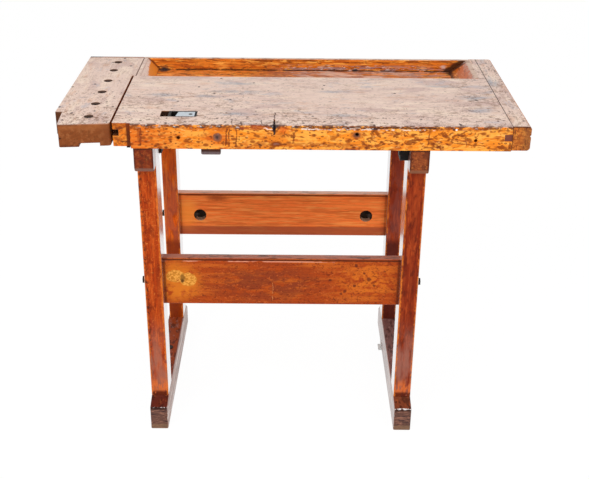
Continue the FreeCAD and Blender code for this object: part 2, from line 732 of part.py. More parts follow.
# ---------------------------------------------------------------- the fixed top
# From the apron's left end, and above its underside
OLD_HOLES = ((108, 27), (510, 38.5), (778, 25.9))
SPLINTER = ((386, 51.5), (425, 54), (500, 53.5), (546, 52), (515, 50), (430, 49.5))


def tongue_slot(piece, name):
    """The groove in an edge piece's right end that takes the right cap's tongue."""
    long = cap_seam + top_left
    slot = sketch(piece, name + "_slot", "XZ_Plane")
    rectangle(slot, (long - tongue_long, long), (tongue_up, tongue_up + tongue_high))
    pocket(piece, slot)


def chips(apron, name):
    """The wear in the top front edge: a notch, the crack behind it and a splintered strip."""
    middle = top_left - chip_left
    for part, wide, high, deep in (("notch", chip_wide, chip_high, chip_deep),
                                   ("crack", crack_wide, crack_high, None)):
        wedge = sketch(apron, f"{name}_{part}", "XZ_Plane")
        outline(wedge, [
            (middle - wide / 2, top_thick), (middle, top_thick - high),
            (middle + wide / 2, top_thick),
        ])
        pocket(apron, wedge, deep)
    strip = sketch(apron, name + "_splinter", "XZ_Plane")
    outline(strip, SPLINTER)
    pocket(apron, strip, splinter_deep)


def front_apron():
    name = "front_apron"
    apron = plank(name, (-top_left, cap_seam), (-top_front, slab_front), (under, top_high))
    soften(apron, name + "_worn_edge", worn_edge,
           lambda edge: runs(edge, "x") and lies(edge, y=0, z=top_thick))
    soften(apron, name + "_low_edge", low_arris,
           lambda edge: runs(edge, "x") and lies(edge, y=0, z=0))
    tongue_slot(apron, name)
    bore = sketch(apron, name + "_plug_bore", "XZ_Plane")
    circle(bore, top_left - plug_left, top_thick - plug_down, plug_radius)
    pocket(apron, bore, plug_deep)
    holes = sketch(apron, name + "_old_holes", "XZ_Plane")
    for x, z in OLD_HOLES:
        circle(holes, x, z, old_hole_radius)
    pocket(apron, holes, old_hole_deep)
    chips(apron, name)
    node(name, apron)
    plug = rod("apron_plug", "y", (-plug_left, -top_front, top_high - plug_down), plug_radius,
               plug_deep)
    node("apron_plug", plug)


def foot_screw_bores(piece, name, end, front):
    """Bores for the angle brackets' screws in the underside of a part of the top."""
    bores = sketch(piece, name + "_screw_bores", "XY_Plane")
    for side in (LEFT, RIGHT):
        for x, y in foot_screws(side, end):
            circle(bores, x + top_left, y - front, screw_radius)
    pocket(piece, bores, screw_long)


def top_slab():
    name = "top_slab"
    slab = plank(name, (-top_left, cap_seam), (slab_front, slab_rear), (under, top_high))
    soften(slab, name + "_arris", arris,
           lambda edge: runs(edge, "x") and lies(edge, y=slab_deep, z=top_thick))
    tongue_slot(slab, name)
    recess = sketch(slab, name + "_recess", "XY_Plane", top_thick)
    front = -stop_front - slab_front
    rectangle(recess, (top_left - stop_left, top_left - stop_right), (front, front + stop_wide))
    pocket(slab, recess, stop_deep)
    bore = sketch(slab, name + "_stop_bore", "XY_Plane", top_thick - stop_deep)
    circle(bore, stop_frame_left + stop_end_wall / 2 + top_left, stop_mid - slab_front,
           small_screw_radius)
    pocket(slab, bore, small_screw_into)
    foot_screw_bores(slab, name, FRONT, slab_front)
    node(name, slab)


def left_end_cap():
    name = "left_end_cap"
    cap = body(name, -left_cap_end, -left_cap_front, cap_under)
    long = rail_front + left_cap_front
    step = slab_rear + left_cap_front
    plan = sketch(cap, name + "_plan", "XY_Plane")
    outline(plan, [
        (0, 0), (left_cap_wide, 0), (left_cap_wide, long), (left_cap_step, long),
        (left_cap_step, step), (0, step),
    ])
    pad(cap, plan, cap_thick)
    soften(cap, name + "_arris", arris, lambda edge: runs(edge, "z") and lies(edge, y=0))
    ramp = sketch(cap, name + "_ramp", "XZ_Plane", -long)
    outline(ramp, [
        (left_cap_wide - left_ramp_run, cap_thick), (left_cap_wide, cap_thick),
        (left_cap_wide, cap_thick - left_ramp_drop),
    ])
    pocket(cap, ramp, long - step)
    groove = sketch(cap, name + "_groove", "YZ_Plane")
    rectangle(groove, (0, long), (cap_groove_up, cap_groove_up + cap_groove_high))
    pocket(cap, groove, cap_groove_deep)
    bores = sketch(cap, name + "_screw_bores", "XY_Plane")
    for x, y in flange_screws(FRONT) + flange_screws(REAR):
        circle(bores, x + left_cap_end, y + left_cap_front, screw_radius)
    pocket(cap, bores, screw_long)
    node(name, cap)


def right_end_cap():
    name = "right_end_cap"
    cap = body(name, tongue_left, -cap_front, right_cap_under)
    wide = tongue_long + cap_wide
    long = rail_rear + cap_front
    step = slab_rear + cap_front
    plan = sketch(cap, name + "_plan", "XY_Plane")
    outline(plan, [
        (tongue_long, 0), (wide, 0), (wide, long), (0, long), (0, step), (tongue_long, step),
    ])
    pad(cap, plan, right_cap_thick)
    soften(cap, name + "_round", cap_round, lambda edge: runs(edge, "y") and lies(edge, x=wide))
    tongue = sketch(cap, name + "_tongue", "XY_Plane", under + tongue_up - right_cap_under)
    rectangle(tongue, (0, tongue_long), (cap_front - top_front + fit, step))
    pad(cap, tongue, tongue_high)
    vee = sketch(cap, name + "_vee", "XZ_Plane")
    outline(vee, [
        (wide, cap_vee_up - cap_vee_deep), (wide, cap_vee_up + cap_vee_deep),
        (wide - cap_vee_deep, cap_vee_up),
    ])
    pocket(cap, vee)
    node(name, cap)


def tray():
    floor = plank("tray_floor", (-top_left, tongue_left), (slab_rear, rail_front),
                  (under, tray_floor_z))
    foot_screw_bores(floor, "tray_floor", REAR, slab_rear)
    node("tray_floor", floor)
    rail = plank("tray_rear_rail", (-tray_cap_end, tongue_left), (rail_front, rail_rear),
                 (under, top_high))
    soften(rail, "tray_rear_rail_arris", arris,
           lambda edge: runs(edge, "x") and lies(edge, z=top_thick))
    node("tray_rear_rail", rail)
    foot = tongue_left - ramp_run - ramp_flat
    ramp = body("tray_right_ramp", foot, slab_rear, tray_floor_z)
    profile = sketch(ramp, "tray_right_ramp_side", "XZ_Plane")
    outline(profile, [
        (0, 0), (ramp_run + ramp_flat, 0), (ramp_run + ramp_flat, tray_deep),
        (ramp_run, tray_deep),
    ])
    pad(ramp, profile, tray_wide - ramp_gap, back=True)
    node("tray_right_ramp", ramp)


# ---------------------------------------------------------------- iron fittings
def wood_screw(name, axis, face, inward, radius, head_radius, head_thick, long):
    """A screw whose head stands on a face; inward (+1 or -1) is the way its shank goes."""
    shank, cap = list(face), list(face)
    index = "xyz".index(axis)
    (shank if inward < 0 else cap)[index] = face[index] - (long if inward < 0 else head_thick)
    return fuse(name, [
        rod(name + "_shank", axis, shank, radius, long),
        rod(name + "_head", axis, cap, head_radius, head_thick),
    ])


def angle_bracket(side, end):
    name = f"{side_word(side)}_{end_word(end)}_bracket"
    thick = left_bracket_thick if side == LEFT else right_bracket_thick
    high = left_bracket_high if side == LEFT else right_bracket_high
    start = bracket_start(side, end)
    iron = body(name, side * inner_face, start, under)
    profile = sketch(iron, name + "_profile", "XZ_Plane")
    outline(profile, [
        (0, 0), (-side * bracket_foot, 0), (-side * bracket_foot, -bracket_foot_thick),
        (-side * thick, -bracket_foot_thick), (-side * thick, -high), (0, -high),
    ])
    pad(iron, profile, bracket_wide, back=True)
    soften(iron, name + "_web", bracket_web,
           lambda edge: runs(edge, "y") and lies(edge, x=-side * thick, z=-bracket_foot_thick))
    soften(iron, name + "_corners", bracket_web,
           lambda edge: runs(edge, "x") and lies(edge, z=-high))
    bores = sketch(iron, name + "_side_bores", "YZ_Plane")
    for y, z in side_screws(side, end):
        circle(bores, y - start, z - under, screw_radius)
    if side == LEFT:
        circle(bores, end * bar_spread - start, vise_z - under, bar_radius + screw_clear)
    pocket(iron, bores)
    bores = sketch(iron, name + "_foot_bores", "XY_Plane")
    for x, y in foot_screws(side, end):
        circle(bores, x - side * inner_face, y - start, screw_radius)
    pocket(iron, bores)
    node(name, iron)


def bracket_screws():
    screws = []
    for side in (LEFT, RIGHT):
        thick = left_bracket_thick if side == LEFT else right_bracket_thick
        for end in (FRONT, REAR):
            tag = f"bracket_screw_{side_word(side)}_{end_word(end)}_"
            for index, (y, z) in enumerate(side_screws(side, end)):
                face = (side * (inner_face - thick), y, z)
                screws.append(wood_screw(f"{tag}side_{index}", "x", face, side, screw_radius,
                                         screw_head_radius, screw_head_thick, thick + screw_long))
            for index, (x, y) in enumerate(foot_screws(side, end)):
                face = (x, y, under - bracket_foot_thick)
                screws.append(wood_screw(f"{tag}foot_{index}", "z", face, 1, screw_radius,
                                         screw_head_radius, screw_head_thick,
                                         bracket_foot_thick + screw_long))
    node("bracket_screws", group("bracket_screws", screws))


def floor_fixings():
    """A round-headed bolt down through the left sled and a clip beside the right one."""
    bolt = wood_screw("floor_bolt", "z", (-trestle_half, 0, sled_high), -1, floor_bolt_radius,
                      floor_bolt_head, floor_bolt_crown, sled_high - floor_bolt_crown)
    node("floor_bolt", bolt)
    side = inner_face
    back = (side - clip_thick, side)
    deep = (clip_at, clip_at + clip_wide)
    clip = fuse("floor_clip", [
        box("floor_clip_back", back, deep, (as_size(0), clip_high)),
        box("floor_clip_foot", (side - clip_out, side), deep, (as_size(0), clip_thick)),
    ])
    node("floor_clip", clip)


# ---------------------------------------------------------------- the end vise
def flange_screws(end):
    """Places (x, y) of the screws from a guide flange up into the left cap."""
    x = -flange_at - flange_foot / 2
    return [(x, end * bar_spread + part * flange_wide / 4) for part in (-1, 1)]


def vise_jaw():
    name = "vise_jaw"
    jaw = body(name, -jaw_left, -jaw_front, jaw_under)
    long = jaw_rear + jaw_front
    inner = jaw_inner + jaw_left
    tray_inner = jaw_tray_inner + jaw_left
    step = slab_rear + jaw_front + jaw_shut
    plan = sketch(jaw, name + "_plan", "XY_Plane")
    outline(plan, [
        (jaw_notch + jaw_lean, 0), (inner, jaw_slant), (inner, step), (tray_inner, step),
        (tray_inner, long), (0, long), (0, jaw_notch_deep), (jaw_notch, jaw_notch_deep),
    ])
    pad(jaw, plan, jaw_thick)
    soften(jaw, name + "_corners", jaw_round,
           lambda edge: runs(edge, "z") and edge.CenterOfMass.y < jaw_slant.number + NEAR)
    soften(jaw, name + "_rear_arris", arris, lambda edge: lies(edge, y=long))
    groove = sketch(jaw, name + "_groove", "XZ_Plane")
    end = jaw_groove_in + jaw_groove
    rectangle(groove, (jaw_groove_in, end), (0, jaw_groove_deep))
    pocket(jaw, groove)
    relief = sketch(jaw, name + "_relief", "XZ_Plane")
    rectangle(relief, (end, tray_inner), (0, jaw_relief))
    pocket(jaw, relief)
    holes = sketch(jaw, name + "_dog_holes", "XY_Plane")
    for y in dog_holes():
        circle(holes, jaw_left - dog_left, y + jaw_front, dog_radius)
    pocket(jaw, holes)
    bores = sketch(jaw, name + "_yoke_bores", "XY_Plane")
    for x, y in yoke_screws():
        circle(bores, x + jaw_left, y + jaw_front, yoke_screw_radius)
    pocket(jaw, bores, yoke_screw_into)
    node(name, jaw)


def dog_holes():
    """Places along Y of the six dog holes: five evenly spaced and one closer."""
    first = [index * dog_pitch - dog_first for index in range(5)]
    return first + [first[-1] + dog_last_pitch]


def yoke_screws():
    """Places (x, y) of the screws that hold the yoke under the jaw."""
    x = yoke_left + yoke_wide / 2
    return [(x, end * spread) for end in (FRONT, REAR)
            for spread in (yoke_screw_near, yoke_screw_near + yoke_screw_pitch)]


def vise_yoke():
    name = "vise_yoke"
    yoke = plank(name, (yoke_left, yoke_right), (-yoke_deep / 2, yoke_deep / 2),
                 (yoke_low, jaw_under))
    soften(yoke, name + "_arris", arris, lambda edge: runs(edge, "y") and lies(edge, z=0))
    bores = sketch(yoke, name + "_bores", "YZ_Plane")
    middle = yoke_deep / 2
    for end in (FRONT, REAR):
        circle(bores, middle + end * bar_spread, vise_z - yoke_low, bar_radius)
    circle(bores, middle, vise_z - yoke_low, vise_screw_radius + fit)
    pocket(yoke, bores)
    bores = sketch(yoke, name + "_screw_bores", "XY_Plane")
    for x, y in yoke_screws():
        circle(bores, x - yoke_left, y + middle, yoke_screw_radius)
    pocket(yoke, bores)
    node(name, yoke)
    screws = [
        wood_screw(f"yoke_screw_{index}", "z", (x, y, yoke_low), 1, yoke_screw_radius,
                   yoke_screw_head, screw_head_thick, yoke_high + yoke_screw_into)
        for index, (x, y) in enumerate(yoke_screws())
    ]
    node("yoke_screws", group("yoke_screws", screws))


def guide_bars():
    for end in (FRONT, REAR):
        y = end * bar_spread
        name = end_word(end) + "_guide_bar"
        node(name, rod(name, "x", (yoke_left, y, vise_z), bar_radius, bar_long))
        name = end_word(end) + "_guide_flange"
        deep = (y - flange_wide / 2, y + flange_wide / 2)
        face = -flange_at + flange_thick
        iron = fuse(name + "_iron", [
            box(name + "_plate", (-flange_at, face), deep,
                (cap_under - flange_high, cap_under)),
            box(name + "_foot", (-flange_at - flange_foot, face), deep,
                (cap_under - bracket_foot_thick, cap_under)),
        ])
        tools = [rod(name + "_bore", "x", (-flange_at, y, vise_z), bar_radius + fit,
                     flange_thick)]
        for index, (x, screw_y) in enumerate(flange_screws(end)):
            start = (x, screw_y, cap_under - bracket_foot_thick)
            tools.append(rod(f"{name}_screw_bore_{index}", "z", start, screw_radius,
                             bracket_foot_thick))
        node(name, cut(name, iron, tools))
    screws = [
        wood_screw(f"flange_screw_{index}", "z", (x, y, cap_under - bracket_foot_thick), 1,
                   screw_radius, screw_head_radius, screw_head_thick,
                   bracket_foot_thick + screw_long)
        for index, (x, y) in enumerate(flange_screws(FRONT) + flange_screws(REAR))
    ]
    node("flange_screws", group("flange_screws", screws))


def vise_screw():
    start = (hub_inner - hub_socket, 0, vise_z)
    node("vise_screw", rod("vise_screw", "x", start, vise_screw_radius,
                           -vise_screw_end - hub_inner + hub_socket))
    node("vise_hub", cut("vise_hub", rod("vise_hub_body", "x", (-half_long, 0, vise_z),
                                         hub_radius, hub_inner + half_long), [
        rod("vise_hub_socket", "x", start, vise_screw_radius, hub_socket),
        rod("vise_hub_cross_bore", "y", (handle_x, -hub_face, vise_z), handle_radius + fit,
            2 * hub_face),
    ]))
    node("thrust_washer", ring("thrust_washer", "x", (hub_inner + side_gap, 0, vise_z),
                               hub_radius, vise_screw_radius,
                               thrust_gap - 2 * side_gap))
    node("screw_collar", ring("screw_collar", "x", (yoke_right + side_gap, 0, vise_z),
                              collar_radius, vise_screw_radius, collar_thick))


def vise_handle():
    front = -hub_face - knob_long
    node("handle_bar", rod("handle_bar", "y", (handle_x, front, vise_z), handle_radius,
                           handle_long))
    knobs = [ring(f"{word}_knob", "y", (handle_x, y, vise_z), knob_radius, handle_radius,
                  knob_long)
             for word, y in (("front", front), ("rear", front + handle_long - knob_long))]
    node("handle_knobs", group("handle_knobs", knobs))


def vise_nut():
    low = under - block_high
    block = plank("nut_block", (-block_left, block_wide - block_left),
                  (-block_deep / 2, block_deep / 2), (low, under))
    soften(block, "nut_block_corners", block_round, lambda edge: lies(edge, z=0))
    socket = sketch(block, "nut_block_socket", "YZ_Plane")
    circle(socket, block_deep / 2, vise_z - low, nut_radius)
    pocket(block, socket, nut_long)
    way = sketch(block, "nut_block_way", "YZ_Plane")
    circle(way, block_deep / 2, vise_z - low, vise_screw_radius + screw_clear)
    pocket(block, way)
    node("nut_block", block)
    start = (-block_left - nut_flange_thick, 0, vise_z)
    barrel = rod("vise_nut_barrel", "x", (-block_left, 0, vise_z), nut_radius, nut_long)
    flange = cut("vise_nut_flange",
                 rod("vise_nut_disc", "x", start, nut_flange_radius, nut_flange_thick),
                 [box("vise_nut_flat", (start[0], -block_left),
                      (-nut_flange_radius, nut_flange_radius),
                      (under, under + nut_flange_radius))])
    node("vise_nut", cut("vise_nut", fuse("vise_nut_blank", [barrel, flange]),
                         [rod("vise_nut_bore", "x", start, vise_screw_radius + fit,
                              nut_long + nut_flange_thick)]))


# ---------------------------------------------------------------- the bench stop
def bench_stop():
    sides = (-stop_front, stop_wide - stop_front)
    inside = (sides[0] + stop_wall, sides[1] - stop_wall)
    pin_z = top_high - stop_pin_down
    small_x = stop_frame_left + stop_end_wall / 2
    set_x = stop_plate_right - set_screw_in
    plate_top = top_high - stop_plate_sunk
    frame = cut("stop_frame", box("stop_frame_blank", (stop_frame_left, -stop_right), sides,
                                  (stop_floor, top_high)), [
        box("stop_frame_cavity", (stop_frame_left + stop_end_wall, -stop_right - stop_wall),
            inside, (stop_floor + stop_wall, top_high)),
        rod("stop_frame_pin_bore", "y", (stop_pin_x, sides[0], pin_z), stop_pin_radius,
            stop_wide),
        rod("stop_frame_screw_bore", "z", (small_x, stop_mid, stop_floor), small_screw_radius,
            stop_deep),
        rod("stop_frame_sink", "z", (small_x, stop_mid, top_high - screw_head_thick),
            small_screw_head, screw_head_thick),
    ])
    node("stop_frame", frame)
    node("stop_pin", rod("stop_pin", "y", (stop_pin_x, sides[0], pin_z), stop_pin_radius,
                         stop_wide))
    low = stop_floor - small_screw_into
    node("stop_wood_screw", fuse("stop_wood_screw", [
        rod("stop_wood_screw_shank", "z", (small_x, stop_mid, low), small_screw_radius,
            stop_deep + small_screw_into),
        rod("stop_wood_screw_head", "z", (small_x, stop_mid, top_high - screw_head_thick),
            small_screw_head, screw_head_thick),
    ]))

    wide = stop_wide - 2 * stop_wall - 2 * side_gap
    plate_low = plate_top - stop_plate_thick
    plate = body("stop_plate", stop_plate_right - stop_plate_long, inside[0] + side_gap,
                 plate_low)
    plan = sketch(plate, "stop_plate_plan", "XY_Plane")
    outline(plan, [
        (0, 0), (stop_plate_long, 0), (stop_plate_long, wide), (stop_plate_slant, wide),
    ])
    pad(plate, plan, stop_plate_thick)
    knuckle = sketch(plate, "stop_plate_knuckle", "XZ_Plane")
    circle(knuckle, stop_plate_long - stop_pin_in, pin_z - plate_low, stop_knuckle_radius)
    pad(plate, knuckle, wide, back=True)
    bore = sketch(plate, "stop_plate_pin_bore", "XZ_Plane")
    circle(bore, stop_plate_long - stop_pin_in, pin_z - plate_low, stop_pin_radius + fit)
    pocket(plate, bore)
    screw = (stop_plate_long - set_screw_in, stop_mid - inside[0] - side_gap)
    bore = sketch(plate, "stop_plate_screw_bore", "XY_Plane", stop_plate_thick)
    circle(bore, *screw, set_screw_radius + fit)
    pocket(plate, bore)
    sink = sketch(plate, "stop_plate_sink", "XY_Plane", stop_plate_thick)
    circle(sink, *screw, set_screw_head + side_gap)
    pocket(plate, sink, screw_head_thick)
    node("stop_plate", plate)

    floor = stop_floor + stop_wall + side_gap
    cap_low = plate_top - screw_head_thick + fit
    node("stop_set_screw", fuse("stop_set_screw", [
        rod("stop_set_screw_shank", "z", (set_x, stop_mid, floor), set_screw_radius,
            cap_low - floor),
        rod("stop_set_screw_head", "z", (set_x, stop_mid, cap_low), set_screw_head,
            screw_head_thick),
    ]))


# ---------------------------------------------------------------- build and write
for trestle in (LEFT, RIGHT):
    sled(trestle)
    head(trestle)
    for end_of_bench in (FRONT, REAR):
        leg(trestle, end_of_bench)
        angle_bracket(trestle, end_of_bench)
for end_of_bench in (FRONT, REAR):
    stretcher(end_of_bench)
bench_bolts()
front_apron()
top_slab()
left_end_cap()
right_end_cap()
tray()
bracket_screws()
floor_fixings()
vise_jaw()
vise_yoke()
guide_bars()
vise_screw()
vise_handle()
vise_nut()
bench_stop()
doc.recompute()

for item in doc.Objects:
    if "Invalid" in item.State or "Error" in item.State:
        raise RuntimeError(f"{item.Label} did not compute: {item.State}")
for name, piece in nodes.items():
    if piece.Shape.isNull() or not piece.Shape.isValid() or not piece.Shape.Solids:
        raise RuntimeError(name + " has no valid solid")

os.makedirs("parts", exist_ok=True)
for name, piece in nodes.items():
    piece.Shape.exportStep(f"parts/{name}.step")
    limits = piece.Shape.BoundBox
    print(f"{name}: {len(piece.Shape.Solids)} solid(s), x {limits.XMin:.1f} to {limits.XMax:.1f}, "
          f"y {limits.YMin:.1f} to {limits.YMax:.1f}, z {limits.ZMin:.1f} to {limits.ZMax:.1f}")
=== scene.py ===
import json
import math

import bpy
from mathutils import Matrix, Vector


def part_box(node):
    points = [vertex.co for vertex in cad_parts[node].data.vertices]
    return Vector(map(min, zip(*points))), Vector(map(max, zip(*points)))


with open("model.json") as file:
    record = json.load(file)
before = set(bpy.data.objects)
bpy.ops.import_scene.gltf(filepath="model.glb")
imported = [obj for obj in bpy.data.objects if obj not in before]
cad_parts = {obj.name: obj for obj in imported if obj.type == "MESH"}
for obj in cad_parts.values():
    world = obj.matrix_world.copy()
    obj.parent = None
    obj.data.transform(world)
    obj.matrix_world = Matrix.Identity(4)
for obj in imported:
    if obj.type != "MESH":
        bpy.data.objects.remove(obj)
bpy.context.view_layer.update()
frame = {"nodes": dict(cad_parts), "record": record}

# A woodworking bench with an end vise. Its shapes are the CAD nodes: here they get their
# finishes, and a studio and a camera are set up around them.

NODES = frame["nodes"]
MM = 0.001
AXES = "XYZ"

# ---------------------------------------------------------------- places, in millimetres
LOW = {name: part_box(name)[0] / MM for name in NODES}
HIGH = {name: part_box(name)[1] / MM for name in NODES}
TOP_Z = HIGH["top_slab"].z
SLAB_Y = HIGH["top_slab"].y
FACE_Y = LOW["front_apron"].y
TRAY_Z = HIGH["tray_floor"].z
RAIL_Y = LOW["tray_rear_rail"].y
TONGUE = 17  # how far the right end cap's tongue goes into the slab
SEAM_X = LOW["right_end_cap"].x + TONGUE
CHIP_X = -17  # the deep chip in the apron's top edge
PLUG = (-145, FACE_Y, 809.5)
DOG_ROW_X = -441.5
RECESS_X, RECESS_Y = (-283, -193), (-222, -174.5)  # the bench stop's recess
LEFT_RAMP_X, RIGHT_RAMP_X = (-341, -368), (446, 496)  # each ramp's foot and head
SHOULDER_X = 291  # the stretchers' ends
POCKETS_X, POCKET_Z = (-235, 235), 403  # the round nut pockets in the rear stretcher


# ---------------------------------------------------------------- shader helpers
RIPPLE = 0.1  # waves to a millimetre in the edges of marks
WAVER = 9  # how far those edges may wander
RING_PITCH = 0.314  # a Wave texture's own ring width at scale 1
GLARE_RISE = (0.4, 0.95)  # the slants between which varnish starts to shine
GLARE_ROUGHNESS = 0.3


def linear(code):
    """An sRGB hex colour as linear red, green, blue and alpha."""
    parts = [int(code[index:index + 2], 16) / 255 for index in (1, 3, 5)]
    return [part / 12.92 if part <= 0.04045 else ((part + 0.055) / 1.055) ** 2.4
            for part in parts] + [1.0]


def add(tree, kind, inputs=None, **settings):
    """Add a shader node with its settings, and its sockets' values or links."""
    node = tree.nodes.new("ShaderNode" + kind)
    for name, value in settings.items():
        setattr(node, name, value)
    for socket, value in (inputs or {}).items():
        if isinstance(value, bpy.types.NodeSocket):
            tree.links.new(value, node.inputs[socket])
        else:
            node.inputs[socket].default_value = value
    return node


def along(axis, long, across):
    """Cell size of a grain that runs along an axis."""
    return tuple(long if axis == name else across for name in AXES)


class Coat:
    """One node's material, built up from a bare colour in layers, with a height for bumps.

    A mask is a socket that is 1 where a layer covers and 0 where it doesn't. Places and sizes
    are in millimetres.
    """

    def __init__(self, name, node, colour):
        self.node = node
        self.material = bpy.data.materials.new(f"{name}, {node}")
        self.material.use_nodes = True
        self.tree = self.material.node_tree
        self.tree.nodes.clear()
        coords = add(self.tree, "TexCoord")
        self.place = add(self.tree, "VectorMath", {0: coords.outputs["Object"], 1: (1 / MM,) * 3},
                         operation="MULTIPLY").outputs[0]
        self.spot = add(self.tree, "SeparateXYZ", {0: self.place})
        self.facing = add(self.tree, "SeparateXYZ", {0: coords.outputs["Normal"]})
        ripple = add(self.tree, "TexNoise", {"Vector": self.place, "Scale": RIPPLE,
                                             "Detail": 3.0})
        shift = add(self.tree, "VectorMath", {0: ripple.outputs["Color"], 1: (0.5,) * 3},
                    operation="SUBTRACT")
        self.wavy = add(self.tree, "VectorMath", {0: shift.outputs[0], 1: (WAVER,) * 3,
                                                  2: self.place},
                        operation="MULTIPLY_ADD").outputs[0]
        self.colour = add(self.tree, "RGB").outputs[0]
        self.colour.default_value = linear(colour)
        self.height = None

    def ramp(self, value, low, high):
        """0 below low and 1 above high, smoothly; the other way round if low is above high."""
        flip = low > high
        low, high = min(low, high), max(low, high)
        inputs = {"Value": value, 1: low, 2: high, 3: float(flip), 4: float(not flip)}
        return add(self.tree, "MapRange", inputs, interpolation_type="SMOOTHSTEP").outputs[0]

    def both(self, *masks):
        """1 where all the masks are."""
        result = masks[0]
        for mask in masks[1:]:
            result = add(self.tree, "Math", {0: result, 1: mask}, operation="MULTIPLY").outputs[0]
        return result

    def either(self, *masks):
        """1 where any of the masks is."""
        result = masks[0]
        for mask in masks[1:]:
            result = add(self.tree, "Math", {0: result, 1: mask}, operation="MAXIMUM").outputs[0]
        return result

    def grain(self, size, seed):
        """The place in cells of the given size along X, Y and Z, moved by the seed."""
        scale = tuple(1 / length for length in size)
        return add(self.tree, "Mapping", {"Vector": self.place, "Scale": scale,
                                          "Location": (seed, seed * 1.7, seed * 0.6)}).outputs[0]

    def clouds(self, size, low, high, seed=0.0, detail=3.0, twist=0.0):
        """Soft patches of about the given size, where the noise passes from low to high."""
        cloud = add(self.tree, "TexNoise", {
            "Vector": self.grain(size, seed), "Scale": 1.0, "Detail": detail,
            "Roughness": 0.6, "Distortion": twist})
        return self.ramp(cloud.outputs["Fac"], low, high)

    def specks(self, size, radius, share, seed=0.0):
        """Scattered specks, one in a share of the cells, with a radius in cells."""
        cells = add(self.tree, "TexVoronoi", {"Vector": self.grain(size, seed), "Scale": 1.0,
                                              "Randomness": 1.0})
        inside = self.ramp(cells.outputs["Distance"], radius, radius * 0.4)
        pick = add(self.tree, "SeparateXYZ", {0: cells.outputs["Color"]}).outputs[0]
        return self.both(inside, self.ramp(pick, share, share - 0.02))

    def blob(self, centre, size, soft=0.5, crisp=False):
        """A rounded patch at a place, with its half sizes; a crisp one has an even edge."""
        away = add(self.tree, "VectorMath", {0: self.place if crisp else self.wavy, 1: centre},
                   operation="SUBTRACT")
        scaled = add(self.tree, "VectorMath", {0: away.outputs[0], 1: size}, operation="DIVIDE")
        reach = add(self.tree, "VectorMath", {0: scaled.outputs[0]}, operation="LENGTH")
        return self.ramp(reach.outputs["Value"], 1.0, 1.0 - soft)

    def stroke(self, start, end, width, soft=0.6):
        """A wavering line between two places, with its half width."""
        start, run = Vector(start), Vector(end) - Vector(start)
        away = add(self.tree, "VectorMath", {0: self.wavy, 1: start},
                   operation="SUBTRACT").outputs[0]
        part = add(self.tree, "VectorMath", {0: away, 1: run / run.length_squared},
                   operation="DOT_PRODUCT").outputs["Value"]
        held = add(self.tree, "Math", {0: part, 1: 0.0}, operation="ADD", use_clamp=True)
        near = add(self.tree, "VectorMath", {0: run, "Scale": held.outputs[0]},
                   operation="SCALE").outputs[0]
        reach = add(self.tree, "VectorMath", {0: away, 1: near}, operation="DISTANCE")
        return self.ramp(reach.outputs["Value"], width, width * (1 - soft))

    def side(self, axis, sign=1, low=0.55, high=0.85):
        """Faces that look along an axis."""
        return self.ramp(self.facing.outputs[AXES.index(axis)], sign * low, sign * high)

    def band(self, axis, start, end):
        """0 at start and 1 at end along an axis."""
        return self.ramp(self.spot.outputs[AXES.index(axis)], start, end)

    def strip(self, axis, centre, half, soft=1.0):
        """A strip about a level along an axis."""
        return self.both(self.band(axis, centre - half - soft, centre - half),
                         self.band(axis, centre + half + soft, centre + half))

    def edges(self, width):
        """The node's own edges, where two faces of its box are both nearer than a width."""
        low, high = LOW[self.node], HIGH[self.node]
        away = add(self.tree, "VectorMath", {0: self.wavy, 1: (low + high) / 2},
                   operation="SUBTRACT")
        away = add(self.tree, "VectorMath", {0: away.outputs[0]}, operation="ABSOLUTE")
        split = add(self.tree, "SeparateXYZ", {0: away.outputs[0]})
        near = [self.ramp(split.outputs[index], half - width, half - width * 0.2)
                for index, half in enumerate((high - low) / 2)]
        return self.either(self.both(near[0], near[1]), self.both(near[1], near[2]),
                           self.both(near[0], near[2]))

    def lay(self, colour, mask, amount=1.0):
        """Cover what lies below with a colour where the mask is 1."""
        factor = self.both(mask, amount) if amount != 1.0 else mask
        self.colour = add(self.tree, "Mix", {0: factor, 6: self.colour, 7: linear(colour)},
                          data_type="RGBA").outputs[2]

    def press(self, mask, depth):
        """Sink the surface by a depth where the mask is 1."""
        level = add(self.tree, "Math", {0: mask, 1: -depth * MM}, operation="MULTIPLY").outputs[0]
        if self.height is not None:
            level = add(self.tree, "Math", {0: self.height, 1: level}).outputs[0]
        self.height = level

    def finish(self, roughness, metallic=0.0, gloss=0.15, glare=0.0):
        """Join the layers to the shader; glare is the varnish's shine at a flat angle."""
        inputs = {"Base Color": self.colour, "Metallic": metallic, "Roughness": roughness,
                  "Specular IOR Level": gloss}
        shader = add(self.tree, "BsdfPrincipled", inputs).outputs[0]
        if self.height is not None:
            bump = add(self.tree, "Bump", {"Height": self.height, "Strength": 1.0,
                                           "Distance": 1.0})
            self.tree.links.new(bump.outputs[0], shader.node.inputs["Normal"])
        if glare:
            slant = add(self.tree, "LayerWeight", {"Blend": 0.5}).outputs["Facing"]
            varnish = add(self.tree, "BsdfGlossy", {"Color": (1, 1, 1, 1),
                                                    "Roughness": GLARE_ROUGHNESS})
            share = self.both(self.ramp(slant, *GLARE_RISE), glare)
            shader = add(self.tree, "MixShader", {0: share, 1: shader,
                                                  2: varnish.outputs[0]}).outputs[0]
        add(self.tree, "OutputMaterial", {0: shader})
        return self.material


